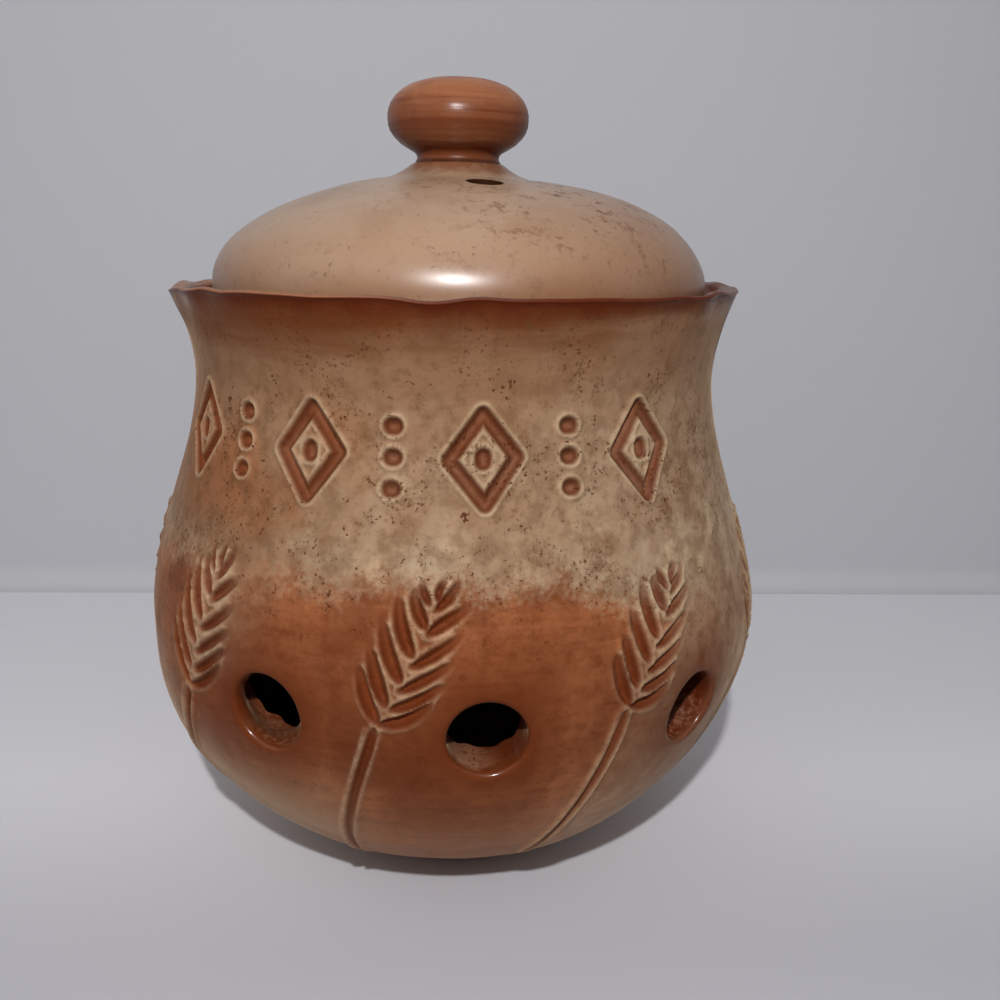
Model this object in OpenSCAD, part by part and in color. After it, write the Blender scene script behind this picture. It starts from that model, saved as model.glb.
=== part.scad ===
// Stoneware onion keeper: a bellied pot with a ring of air holes, a domed lid
// that drops onto a ledge inside the flared lip, and a round knob on the lid.
// Millimetres, +Z up, origin at the middle of the foot, front towards -Y.

/* [Pot] */
// Diameter across the belly
belly_d = 190; // [150:1:230]
// Height of the belly's widest ring above the table
belly_z = 77; // [60:1:95]
// Diameter of the foot
foot_d = 84; // [70:1:130]
// Height of the foot's straight edge
foot_h = 4; // [3:0.5:8]
// Height from the widest ring up to the narrowest ring of the neck
neck_rise = 74; // [50:1:95]
// Diameter at the narrowest ring of the neck
neck_d = 157; // [125:1:188]
// Height from the narrowest ring up to the top of the lip
lip_rise = 25; // [20:0.5:35]
// How far the lip flares out past the neck
lip_flare = 5.8; // [2:0.2:12]

/* [Pot walls] */
// Wall thickness at the belly
belly_wall = 10; // [6:0.5:14]
// Wall thickness at the neck
neck_wall = 6.5; // [4.5:0.5:10]
// Wall thickness of the lip beside the lid
lip_wall = 5.5; // [4.5:0.5:8]
// Thickness of the lip's rounded top edge
lip_edge = 4; // [3:0.25:4.5]
// Thickness of the floor above the table
floor_t = 10; // [7:0.5:16]
// Width of the foot ring that touches the table
foot_ring_w = 9; // [5:0.5:15]
// Depth of the hollow inside the foot ring
foot_hollow = 1.5; // [1:0.25:3]

/* [Air holes] */
// Number of air holes round the belly
vent_count = 9; // [5:1:10]
// Diameter of an air hole
vent_d = 20.5; // [12:0.5:28]
// Height of the hole centres below the widest ring
vent_drop = 6.5; // [0:0.5:15]
// Turn of the first hole from the front, towards +X
vent_turn = 5; // [0:1:39]
// Extra turn of the last hole towards the first: the ring was spaced by hand
vent_shift = 5; // [0:1:10]

/* [Lid seat] */
// Depth of the ledge below the top of the lip
ledge_drop = 8; // [5:0.5:10]
// Width of the ledge that the lid rests on
ledge_w = 8; // [5:0.5:11]
// Thickness of the ledge at its inner edge
ledge_t = 5; // [3:0.5:8]
// Gap between the lid's edge and the inside of the lip
lid_gap = 2.5; // [1:0.25:4]
// Gap between the lid's skirt and the throat of the pot
skirt_gap = 1.5; // [0.5:0.25:3]

/* [Lid] */
// Height of the lid's upright edge above the ledge
lid_edge_h = 7.5; // [4:0.5:12]
// Rise of the dome above the upright edge
dome_rise = 31.5; // [20:0.5:45]
// Wall thickness of the lid
lid_wall = 6; // [4:0.5:9]
// Depth of the locating skirt below the ledge
skirt_h = 12; // [6:0.5:16]
// Width of the crown's flare, from the dome in to the land
crown_flare_w = 11.5; // [8:0.5:18]
// Height of the flat land for the knob above the top of the dome
land_rise = 2.8; // [1:0.2:6]
// How far the flat land reaches past the knob's stem
land_margin = 1.2; // [0.4:0.2:4]
// Diameter of the steam hole in the lid
steam_d = 9; // [5:0.5:12]
// Space between the crown's flare and the steam hole
steam_gap = 3; // [1:0.5:8]
// Turn of the steam hole from the front, towards +X
steam_turn = 12; // [0:1:359]

/* [Knob] */
// Diameter of the knob
knob_d = 41.6; // [34:0.2:52]
// Height of the knob's round part
knob_h = 23; // [16:0.5:30]
// Diameter of the stem under the knob
stem_d = 24.6; // [18:0.2:26]
// Height of the straight stem above the lid
stem_h = 3.2; // [2:0.2:8]

/* [Hidden] */
$fn = 96;

// Points on each curved stretch of an outline
curve_steps = 10;
// Points on the small rounding of the lip
edge_steps = 8;
// Power of the lip's flare: the curve steepens towards the top
flare_power = 1.6;
// Height added to cutters so that they pass clear through
cut_past = 1;

// Pot radii and heights
belly_r = belly_d / 2;
neck_r = neck_d / 2;
foot_r = foot_d / 2;
neck_z = belly_z + neck_rise;
pot_h = neck_z + lip_rise;
bowl_depth = (belly_z - foot_h) / sqrt(1 - pow(foot_r / belly_r, 2));
inner_belly_r = belly_r - belly_wall;
inner_neck_r = neck_r - neck_wall;
inner_depth = bowl_depth - belly_wall;
floor_angle = -asin((belly_z - floor_t) / inner_depth);
foot_ring_r = foot_r - foot_ring_w;
vent_z = belly_z - vent_drop;
vent_start_r = inner_belly_r - belly_wall;

// Lid seat, from the lip inwards
ledge_z = pot_h - ledge_drop;
seat_r = flare_r(ledge_z) - lip_wall;
bore_r = seat_r - ledge_w;
throat_r = min(bore_r, inner_neck_r);

// Lid radii and heights, from the seat
lid_r = seat_r - lid_gap;
skirt_r = throat_r - skirt_gap;
skirt_inner_r = skirt_r - lid_wall;
lid_edge_z = ledge_z + lid_edge_h;
dome_z = lid_edge_z + dome_rise;
land_z = dome_z + land_rise;
stem_r = stem_d / 2;
land_r = stem_r + land_margin;
flare_start_r = land_r + crown_flare_w;
steam_r = flare_start_r + steam_gap + steam_d / 2;

// Knob, from the land
knob_r = knob_d / 2;
bulb_rise = knob_h / 2;
stem_angle = acos(stem_r / knob_r);
knob_mid_z = land_z + stem_h + bulb_rise * sin(stem_angle);

// Even steps from 0 to 1
function steps(n) = [for (i = [0:n]) i / n];

// Even steps that leave out 0, for a stretch that starts where the last one ended
function later_steps(n) = [for (i = [1:n]) i / n];

// Value a fraction t of the way from a to b
function between(a, b, t) = a + (b - a) * t;

// Fraction that starts and ends level
function eased(t) = t * t * (3 - 2 * t);

// Outer radius of the neck and lip at height z
function flare_r(z) = neck_r + lip_flare * pow((z - neck_z) / lip_rise, flare_power);

// Height of the dome's outside at radius r
function dome_height(r) = lid_edge_z + dome_rise * sqrt(1 - pow(r / lid_r, 2));

// Turn of air hole i from the front
function vent_angle(i) =
    vent_turn + i * 360 / vent_count + (i == vent_count - 1 ? vent_shift : 0);

// Ellipse points at the given fractions between two angles above the centre's level
function ellipse(r, rise, z, from, to, fractions) =
    [for (t = fractions) let (a = between(from, to, t)) [r * cos(a), z + rise * sin(a)]];

// Wall points between two rings, level with the axis at both, without the first ring
function eased_wall(from_r, from_z, to_r, to_z) =
    [for (t = later_steps(curve_steps)) [between(from_r, to_r, eased(t)), between(from_z, to_z, t)]];

// Foot, from the middle of the underside out to the foot's edge
function foot_outline() = [
    [0, foot_hollow],
    [foot_ring_r - foot_hollow, foot_hollow],
    [foot_ring_r, 0],
    [foot_r - foot_h / 2, 0],
    [foot_r, foot_h / 2],
];

// Outside of the pot, from the foot up to the lip
function pot_outside() = concat(
    ellipse(belly_r, bowl_depth, belly_z, -asin((belly_z - foot_h) / bowl_depth), 0, steps(curve_steps)),
    eased_wall(belly_r, belly_z, neck_r, neck_z),
    [for (t = later_steps(curve_steps)) let (z = between(neck_z, pot_h - lip_edge / 2, t)) [flare_r(z), z]]
);

// Rounded lip, over the top and down to the ledge
function lip_outline() =
    let (edge_r = lip_edge / 2, edge_z = pot_h - edge_r, middle_r = flare_r(edge_z) - edge_r)
    concat(
        [for (t = later_steps(edge_steps)) let (a = 180 * t)
            [middle_r + edge_r * cos(a), edge_z + edge_r * sin(a)]],
        [[seat_r, ledge_z], [bore_r, ledge_z], [bore_r, ledge_z - ledge_t]]
    );

// Inside of the pot, from the neck down to the floor
function pot_inside() = concat(
    [[inner_neck_r, neck_z]],
    eased_wall(inner_neck_r, neck_z, inner_belly_r, belly_z),
    ellipse(inner_belly_r, inner_depth, belly_z, 0, floor_angle, later_steps(curve_steps)),
    [[0, floor_t]]
);

// Outside of the lid, from the skirt's foot up to the land
function lid_outside() = concat(
    [
        [skirt_inner_r, ledge_z - skirt_h],
        [skirt_r, ledge_z - skirt_h],
        [skirt_r, ledge_z],
        [lid_r, ledge_z],
    ],
    ellipse(lid_r, dome_rise, lid_edge_z, 0, acos(flare_start_r / lid_r), steps(curve_steps)),
    crown_flare()
);

// Hollow curve from the dome up to the land under the knob
function crown_flare() =
    let (low_z = dome_height(flare_start_r))
    [for (t = later_steps(curve_steps))
        [between(flare_start_r, land_r, t), between(low_z, land_z, t * t)]];

// Inside of the lid, from its middle down to the skirt
function lid_inside() = concat(
    [[0, land_z]],
    ellipse(skirt_inner_r, dome_rise - lid_wall, lid_edge_z, 90, 0, steps(curve_steps))
);

// Bellied pot with the ledge for the lid and a ring of air holes
module pot() {
    color("#b06a3c")
    difference() {
        rotate_extrude()
            polygon(concat(foot_outline(), pot_outside(), lip_outline(), pot_inside()));
        for (i = [0:vent_count - 1])
            rotate([0, 0, vent_angle(i)])
                translate([0, -vent_start_r, vent_z])
                    rotate([90, 0, 0])
                        cylinder(d = vent_d, h = belly_r + cut_past - vent_start_r);
    }
}

// Domed lid with its locating skirt, steam hole and flat land for the knob
module lid() {
    color("#c39a74")
    difference() {
        rotate_extrude()
            polygon(concat(lid_outside(), lid_inside()));
        rotate([0, 0, steam_turn])
            translate([0, -steam_r, lid_edge_z])
                cylinder(d = steam_d, h = dome_rise + land_rise + cut_past);
    }
}

// Round knob on its short stem, standing on the lid's land
module knob() {
    color("#a05a2c")
    rotate_extrude()
        polygon(concat(
            [[0, land_z], [stem_r, land_z]],
            ellipse(knob_r, bulb_rise, knob_mid_z, -stem_angle, 90, steps(2 * curve_steps))
        ));
}

pot();
lid();
knob();
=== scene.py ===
"""Stoneware onion keeper: pot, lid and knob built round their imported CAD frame."""
import math
from functools import partial, reduce
from types import SimpleNamespace

import bmesh
import bpy
import numpy as np
from bpy.props import FloatProperty, FloatVectorProperty, IntProperty, PointerProperty
from mathutils import Matrix, Vector
from mathutils.geometry import delaunay_2d_cdt


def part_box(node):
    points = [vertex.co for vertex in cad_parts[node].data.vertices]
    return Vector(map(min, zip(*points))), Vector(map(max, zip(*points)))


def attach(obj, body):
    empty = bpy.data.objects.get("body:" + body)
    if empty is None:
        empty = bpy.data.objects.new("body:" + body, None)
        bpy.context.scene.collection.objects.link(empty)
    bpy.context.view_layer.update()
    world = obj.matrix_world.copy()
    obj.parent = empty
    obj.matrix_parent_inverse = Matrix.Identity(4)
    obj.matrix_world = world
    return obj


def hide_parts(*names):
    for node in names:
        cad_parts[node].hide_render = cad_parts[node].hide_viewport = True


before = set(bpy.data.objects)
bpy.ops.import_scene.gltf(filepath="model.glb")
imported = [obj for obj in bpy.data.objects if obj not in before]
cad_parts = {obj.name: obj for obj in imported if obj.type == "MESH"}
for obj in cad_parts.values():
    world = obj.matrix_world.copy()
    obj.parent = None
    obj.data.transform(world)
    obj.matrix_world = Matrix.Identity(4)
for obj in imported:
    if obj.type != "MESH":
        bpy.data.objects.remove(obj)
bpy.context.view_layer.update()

bl_info = {
    "name": "Onion keeper",
    "version": (1, 0, 0),
    "blender": (4, 5, 0),
    "location": "3D View > Sidebar > Onion keeper",
    "description": "Builds a stoneware onion keeper round its packed CAD frame",
    "category": "Object",
}

MM = 0.001
TURN = 2.0 * math.pi
QUARTER = 0.5 * math.pi
# Directions on an outline, as radius and height
UP, DOWN, IN, OUT = (0.0, 1.0), (0.0, -1.0), (-1.0, 0.0), (1.0, 0.0)
# Radius, in millimetres, at which a flat map of a turned surface has its true size
MAP_R = 93.0
# Points nearer than this, in metres, become one
WELD = 1e-5
MOST_TRIANGLES = 200000
SHARP_ANGLE = 55.0
# Values on every point of the clay that the glazes read
MASKS = ("groove", "pool", "ridge", "vent", "inside")


# Settings


def number(name, description, default, **options):
    """A positive number that the panel shows."""
    return FloatProperty(name=name, description=description, default=default, min=0.0, **options)


def whole(name, description, default, **options):
    """A whole number that the panel shows."""
    return IntProperty(name=name, description=description, default=default, **options)


def length(name, description, default):
    """A size of the object that the panel shows as a length."""
    return number(name, description, default, unit="LENGTH", precision=4)


def angle(name, description, degrees):
    """An angle that the panel shows in degrees."""
    return FloatProperty(name=name, description=description, default=math.radians(degrees), unit="ROTATION")


def colour(name, description, default):
    """A glaze or stage colour that the panel shows as a swatch, written as 0 to 255."""
    return FloatVectorProperty(
        name=name, description=description, default=linear(default), subtype="COLOR", size=3, min=0.0,
        max=1.0)


def linear(rgb):
    """Linear colour of a 0 to 255 screen colour."""
    out = []
    for value in rgb:
        c = value / 255.0
        out.append(c / 12.92 if c <= 0.04045 else ((c + 0.055) / 1.055) ** 2.4)
    return tuple(out)


class PotSettings(bpy.types.PropertyGroup):
    """Sizes and glaze colours of the pot."""

    belly_radius: length("Belly radius", "Radius at the widest ring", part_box("pot")[1].x)
    belly_height: length("Belly height", "Height of the widest ring above the table", 0.077)
    foot_radius: length("Foot radius", "Radius of the foot", 0.042)
    neck_radius: length("Neck radius", "Radius at the narrowest ring of the neck", 0.0785)
    neck_height: length("Neck height", "Height of the narrowest ring of the neck", 0.151)
    lip_height: length("Lip height", "Height of the top of the lip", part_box("pot")[1].z)
    lip_flare: length("Lip flare", "How far the lip leans out past the neck", 0.0058)
    lip_wave: length("Lip wave", "Height of the finger waves along the lip", 0.00055)
    belly_wall: length("Belly wall", "Wall thickness at the belly", 0.010)
    neck_wall: length("Neck wall", "Wall thickness at the neck", 0.0065)
    vent_count: whole("Air holes", "Number of air holes, each with its ear", 9, min=6, max=9)
    vent_radius: length("Air hole radius", "Radius of an air hole", 0.01025)
    vent_height: length("Air hole height", "Height of the air hole centres", 0.0705)
    gouge_depth: length("Gouge depth", "Depth of the grains and of the stamped band", 0.0019)
    ridge_height: length("Ridge height", "Height of the clay pushed up beside each gouge", 0.0008)
    unevenness: length("Unevenness", "How far the thrown wall wanders from a true round", 0.0004)
    seed: whole("Seed", "Pattern of the unevenness", 3)
    cream: colour("Cream", "Bare pale glaze on the shoulder", (164, 142, 116))
    tan: colour("Tan", "Darker clouds in the pale glaze", (128, 93, 67))
    spray: colour("Spray", "Orange-brown sprayed round the ears", (146, 85, 50))
    spray_dark: colour("Spray, thick", "Brown where the spray lies thick", (92, 41, 16))
    neck: colour("Neck", "Brown below the lip", (94, 46, 19))
    # Laid as brown pooled in the gouges, partly painted shade, and as painted shade on the air holes' walls
    # that don't face up
    recess: colour("Recess", "Brown that pools in the gouges", (104, 45, 17))
    # Also laid as a painted sheen along the right edge and as painted light bounced from the floor onto the
    # low flanks
    edge: colour("Edge", "Pale glaze on the raised edges", (190, 164, 132))
    # Also laid as painted shade in the right air hole and deeper into each air hole, and along the gouges'
    # edges as pooled glaze that is partly painted shade
    rim: colour("Lip", "Dark brown on the lip", (80, 30, 9))
    speck: colour("Speck", "Iron specks", (70, 30, 8))
    smudge: colour("Smudge", "Brown dirt ground into the glaze", (94, 62, 36))
    # Also laid as painted light on the lip's crest and, with real bare clay, on the lit floors of the air
    # holes
    bare: colour("Bare clay", "Pale rough clay in the air holes", (170, 122, 92))


class LidSettings(bpy.types.PropertyGroup):
    """Sizes and glaze colours of the lid."""

    rise: length("Dome rise", "Rise of the dome above the upright edge", 0.0315)
    radius: length("Lid radius", "Radius of the lid's edge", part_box("lid")[1].x)
    seat: length("Seat height", "Height of the ledge that the lid rests on", 0.168)
    wall: length("Lid wall", "Wall thickness of the lid", 0.006)
    steam_radius: length("Steam hole radius", "Radius of the steam hole", 0.0045)
    unevenness: length("Unevenness", "How far the dome wanders from a true round", 0.0003)
    seed: whole("Seed", "Pattern of the unevenness", 5)
    salmon: colour("Salmon", "Pale salmon glaze", (158, 130, 106))
    warm: colour("Warm", "Warmer clouds in the glaze", (131, 93, 65))
    grime: colour("Grime", "Dirt on the worn side", (96, 62, 36))
    rust: colour("Rust", "Rust-brown ring round the knob's stem", (112, 60, 32))
    # Also laid as painted shade in the steam hole
    pit: colour("Pit", "Dark brown in pits and in the steam hole", (46, 24, 12))


class KnobSettings(bpy.types.PropertyGroup):
    """Shape and glaze colours of the knob."""

    segments: whole("Segments", "Points round the knob", 144, min=24)
    rows: whole("Rows", "Points along the knob's outline", 72, min=24)
    ring_depth: length("Ring depth", "Depth of the throwing rings", 0.00007)
    orange: colour("Orange", "Thin orange-brown glaze", (154, 98, 65))
    brown: colour("Brown", "Thick brown glaze", (94, 43, 18))
    dark: colour("Dark", "Iron specks", (62, 30, 16))


class StageSettings(bpy.types.PropertyGroup):
    """Camera, lamps and backdrop."""

    camera_back: length("Camera distance", "Distance of the camera in front of the pot's axis", 0.3144)
    camera_height: length("Camera height", "Height of the camera above the table", 0.191)
    pitch: angle("Pitch", "How far the camera looks down", 15.08)
    pan: angle("Pan", "How far the camera looks to the right", 2.62)
    roll: angle("Roll", "Tilt of the camera", 1.05)
    floor: colour("Floor", "Pale cloth under the pot", (216, 215, 220))
    # Painted shade on the floor towards the camera
    floor_front: colour("Floor in front", "Duller cloth towards the camera", (178, 177, 183))
    wall: colour("Wall", "Pale cloth behind the pot", (193, 193, 198))
    sky: colour("Sky", "Light from all round", (255, 255, 255))
    sky_power: number("Sky power", "Strength of the light from all round", 0.48)
    dim_front: number("Dim front", "Share of the sky missing low in front", 0.75, max=1.0, subtype="FACTOR")
    key_power: number("Key power", "Power of the lamp above and in front", 2.5, unit="POWER")
    fill_power: number("Fill power", "Power of the lamp at the left", 1.0, unit="POWER")


# Outlines and maps of turned surfaces


def eased(t):
    """Fraction that starts and ends level."""
    t = np.clip(t, 0.0, 1.0)
    return t * t * (3.0 - 2.0 * t)


def ramp(x, start, full):
    """Fraction that is 0 up to a start and 1 from where it is full, on either side of it."""
    return eased((x - start) / (full - start))


def bell(x, centre, width):
    """Fraction that is 1 at a centre and fades on both sides."""
    return np.exp(-((x - centre) / width) ** 2)


def turned(turn, r, z):
    """Points at a turn from the front towards +X, a radius and a height."""
    turn, r, z = np.broadcast_arrays(turn, r, z)
    return np.stack([r * np.sin(turn), -r * np.cos(turn), z], -1)


def azimuth(points):
    """Turn of points from the front towards +X, in degrees."""
    return np.degrees(np.arctan2(points[:, 0], -points[:, 1]))


def ring_turns(start, count):
    """Turns of even points round the axis, from a start in degrees."""
    return np.radians(start + 360.0 * np.arange(count) / count)


def facing(degrees):
    """Directions out from the axis and across, at a turn from the front."""
    turn = math.radians(degrees)
    out = np.array([math.sin(turn), -math.cos(turn), 0.0])
    return out, np.array([math.cos(turn), math.sin(turn), 0.0])


def straight(start, end, shares):
    """Radii and heights on a straight stretch of an outline, at shares of its length."""
    return [(start[0] + (end[0] - start[0]) * t, start[1] + (end[1] - start[1]) * t) for t in shares]


def softened(r, z, before, after, size, soft):
    """Three radii and heights that soften a corner of an outline."""
    middle = (r + (before[0] + after[0]) * soft, z + (before[1] + after[1]) * soft)
    return [(r + before[0] * size, z + before[1] * size), middle, (r + after[0] * size, z + after[1] * size)]


class PotForm:
    """Outlines of the pot in millimetres, from the sizes in the panel."""

    foot_h = 4.0
    floor = 10.0
    foot_ring = 33.0
    foot_hollow = 1.5
    ledge_drop = 8.0
    ledge_w = 8.0
    ledge_t = 5.0
    lip_wall = 5.5
    lip_edge = 4.0
    flare_power = 1.6
    flare_most = 1.2

    def __init__(self, sizes):
        self.belly_r = sizes.belly_radius / MM
        self.belly_z = sizes.belly_height / MM
        self.foot_r = sizes.foot_radius / MM
        self.neck_r = sizes.neck_radius / MM
        self.neck_z = sizes.neck_height / MM
        self.top = sizes.lip_height / MM
        self.flare = sizes.lip_flare / MM
        self.inner_belly_r = self.belly_r - sizes.belly_wall / MM
        self.inner_neck_r = self.neck_r - sizes.neck_wall / MM
        self.depth = (self.belly_z - self.foot_h) / math.sqrt(1 - (self.foot_r / self.belly_r) ** 2)
        self.inner_depth = self.depth - sizes.belly_wall / MM
        self.ledge_z = self.top - self.ledge_drop
        self.seat_r = float(self.outside(self.ledge_z)) - self.lip_wall
        self.bore_r = self.seat_r - self.ledge_w

    def wall(self, z, belly_r, neck_r, depth):
        """Radius of a round bowl at height z, and of the shoulder above it."""
        bowl = belly_r * np.sqrt(np.clip(1 - ((self.belly_z - z) / depth) ** 2, 0, 1))
        shoulder = belly_r + (neck_r - belly_r) * ramp(z, self.belly_z, self.neck_z)
        return np.where(z < self.belly_z, bowl, shoulder)

    def outside(self, z):
        """Outer radius at height z."""
        z = np.asarray(z, float)
        lean = np.clip((z - self.neck_z) / (self.top - self.neck_z), 0, self.flare_most)
        lip = self.neck_r + self.flare * lean ** self.flare_power
        return np.where(z < self.neck_z, self.wall(z, self.belly_r, self.neck_r, self.depth), lip)

    def inside(self, z):
        """Inner radius at height z, below the neck."""
        return self.wall(np.asarray(z, float), self.inner_belly_r, self.inner_neck_r, self.inner_depth)


class TurnedMap:
    """Flat map of a turned surface that keeps angles, from one end of its outline to the other."""

    def __init__(self, outline):
        self.outline = np.asarray(outline, float)
        r = self.outline[:, 0]
        run = np.hypot(*np.diff(self.outline, axis=0).T) / (0.5 * (r[1:] + r[:-1]))
        self.along = MAP_R * np.concatenate([[0.0], np.cumsum(run)])
        tangent = np.gradient(self.outline, axis=0)
        tangent /= np.hypot(*tangent.T)[:, None]
        self.normal = np.stack([tangent[:, 1], -tangent[:, 0]], 1)

    @classmethod
    def upright(cls, radius_at, low, high, count):
        """Map of a surface given by its radius at heights from low to high."""
        z = np.linspace(low, high, count)
        return cls(np.stack([radius_at(z), z], 1))

    def flat(self, degrees, z):
        """Map points of azimuths in degrees and heights on an outline that rises all the way."""
        y = np.interp(z, self.outline[:, 1], self.along)
        return np.stack([np.radians(degrees) * MAP_R, y + 0.0 * np.asarray(degrees)], -1)

    def radius(self, flat):
        """Distance from the axis at map points."""
        return np.interp(flat[:, 1], self.along, self.outline[:, 0])

    def height(self, flat):
        """Height at map points."""
        return np.interp(flat[:, 1], self.along, self.outline[:, 1])

    def points(self, flat, lift=0.0):
        """Points on the object, lifted off the surface along its normal."""
        nr = np.interp(flat[:, 1], self.along, self.normal[:, 0])
        nz = np.interp(flat[:, 1], self.along, self.normal[:, 1])
        return turned(flat[:, 0] / MAP_R, self.radius(flat) + nr * lift, self.height(flat) + nz * lift)


def within(radius_at):
    """Test of points that lie within a turned surface, from its radius at a height."""
    return lambda p: np.hypot(p[:, 0], p[:, 1]) < radius_at(p[:, 2])


def below(height_at):
    """Test of points that lie below a turned surface, from its height at a radius."""
    return lambda p: p[:, 2] < height_at(np.hypot(p[:, 0], p[:, 1]))


class Hole:
    """A round hole drilled through a wall along an axis."""

    far = 1e3
    other_side = 40.0
    search = 25.0
    halvings = 60

    def __init__(self, centre, inwards, across, radius, fillet, count):
        self.centre = np.asarray(centre, float)
        self.inwards = np.asarray(inwards, float)
        self.across = np.asarray(across, float)
        self.up = np.cross(self.across, self.inwards)
        self.radius = radius
        self.fillet = fillet
        self.angles = np.linspace(0.0, TURN, count, endpoint=False)
        self.out = np.cos(self.angles)[:, None] * self.across + np.sin(self.angles)[:, None] * self.up

    def reach(self, points):
        """Distance of points from the hole's axis, or far away on the other side of the object."""
        offset = points - self.centre
        aside = np.hypot(offset @ self.across, offset @ self.up)
        return np.where(np.abs(offset @ self.inwards) > self.other_side, self.far, aside)

    def meet(self, test, aside):
        """Points where lines along the axis, at a distance outside the hole, first pass a surface's test."""
        base = self.centre + (self.radius + aside) * self.out
        near, far = np.full(len(base), -self.search), np.full(len(base), self.search)
        for _ in range(self.halvings):
            middle = 0.5 * (near + far)
            passed = test(base + middle[:, None] * self.inwards)
            near, far = np.where(passed, near, middle), np.where(passed, middle, far)
        return base + far[:, None] * self.inwards

    def loop(self, surface, test, aside):
        """Map points round the hole on a surface, at a distance outside the hole."""
        edge = self.meet(test, aside)
        return surface.flat(azimuth(edge), edge[:, 2])

    def past(self, surface, flat):
        """Distance of map points past the hole's edge, negative in the hole."""
        return self.reach(surface.points(flat)) - self.radius

    def halo(self, surface, flat, width):
        """Mask of the glaze round the hole, at map points."""
        return np.exp(-np.clip(self.past(surface, flat), 0.0, None) / width)

    def line(self, clay, edge, back, test, burr, rounds, steps, crumbs):
        """Lines the hole with clay from its outer edge to its loop on the wall's inside.

        burr holds the height of the ragged clay at the inner end, and the height, number and turn of
        waves round it. crumbs are rings round that end: distance outside the hole, share of the burr
        and height added to it.
        """
        ragged = burr[0] + sum(high * np.sin(n * self.angles + turn) for high, n, turn in burr[1])
        rings = [edge - self.out * self.fillet * math.sin(t) + self.inwards * self.fillet * (1 - math.cos(t))
                 for t in np.linspace(0.0, QUARTER, rounds)]
        start = rings[-1]
        end = self.meet(test, 0.0) + self.inwards * ragged[:, None]
        rings += [start + (end - start) * t for t in steps]
        rings += [self.meet(test, aside) + self.inwards * (ragged * share + more)[:, None]
                  for aside, share, more in crumbs]
        rings.append(back)
        # The inside mask grows towards the hole's inner end, so the pot's glaze darkens deeper into the hole:
        # painted shade
        clay.rings(rings, vent=np.ones(len(rings)), inside=np.linspace(0.0, 1.0, len(rings)) ** 2)


# Sheets of triangles

# Height of a row of even triangles against their side
ROW = math.sqrt(0.75)
# Least share of a step that the filling keeps from an edge, and how often the step can double
CLEAR = 0.55
DOUBLINGS = 5
SIDE_SAMPLES = 500
NO_OVERLAP = 1e-7
HOLE_SLACK = 0.02


def march(start, end, grid, sizes):
    """Positions from start to end whose steps follow the sizes given on a grid."""
    at = [start]
    while at[-1] < end:
        at.append(at[-1] + float(np.interp(at[-1], grid, sizes)))
    at = np.array(at)
    return start + (at - start) * (end - start) / (at[-1] - start)


def graded(distance, start, slope, fine, coarse):
    """Size of triangles that grows with a distance past a start, between two limits."""
    return np.clip(fine + slope * (distance - start), fine, coarse)


def sheet_border(ends, y1, counts, map_size):
    """Map points round a sheet, with counts of steps along its lower and upper edge."""
    x0, x1 = ends
    grid = np.linspace(0.0, y1, SIDE_SAMPLES)
    sizes = np.minimum(*[map_size(np.stack([np.full(SIDE_SAMPLES, x), grid], 1)) for x in ends])
    side_y = march(0.0, y1, grid, sizes)
    lower = np.stack([np.linspace(x0, x1, counts[0] + 1), np.zeros(counts[0] + 1)], 1)
    upper = np.stack([np.linspace(x1, x0, counts[1] + 1), np.full(counts[1] + 1, y1)], 1)
    right = np.stack([np.full(len(side_y) - 2, x1), side_y[1:-1]], 1)
    left = np.stack([np.full(len(side_y) - 2, x0), side_y[-2:0:-1]], 1)
    return np.concatenate([lower, right, upper, left])


def sheet_filling(ends, y1, counts, fine, map_size):
    """Map points of even triangles inside a sheet, thinned where they may be larger, and their steps."""
    x0, x1 = ends
    rows = int(y1 / (fine * ROW)) + 1
    columns = int((x1 - x0) / fine) + 1
    i, j = np.meshgrid(np.arange(-(rows // 2) - 1, columns + 1), np.arange(rows + 1))
    i, j = i.ravel(), j.ravel()
    inner = np.stack([x0 + (i + 0.5 * j) * fine, j * fine * ROW], 1)
    keep = (inner[:, 0] > x0) & (inner[:, 0] < x1) & (inner[:, 1] > 0) & (inner[:, 1] < y1)
    inner, i, j = inner[keep], i[keep], j[keep]
    want = np.clip(np.round(np.log2(map_size(inner) / fine)), 0, DOUBLINGS)
    level = sum(((i % 2 ** k == 0) & (j % 2 ** k == 0)).astype(int) for k in range(1, DOUBLINGS + 1))
    step = fine * 2.0 ** want
    aside = np.minimum(inner[:, 0] - x0, x1 - inner[:, 0])
    inside = np.minimum(inner[:, 1], y1 - inner[:, 1])
    lower_step, upper_step = ((x1 - x0) / count for count in counts)
    steps_in = np.minimum(inner[:, 1] / lower_step, (y1 - inner[:, 1]) / upper_step)
    keep = (level >= want) & (aside > CLEAR * step) & (steps_in > CLEAR) & (inside > CLEAR * step)
    return inner[keep], step[keep]


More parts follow.
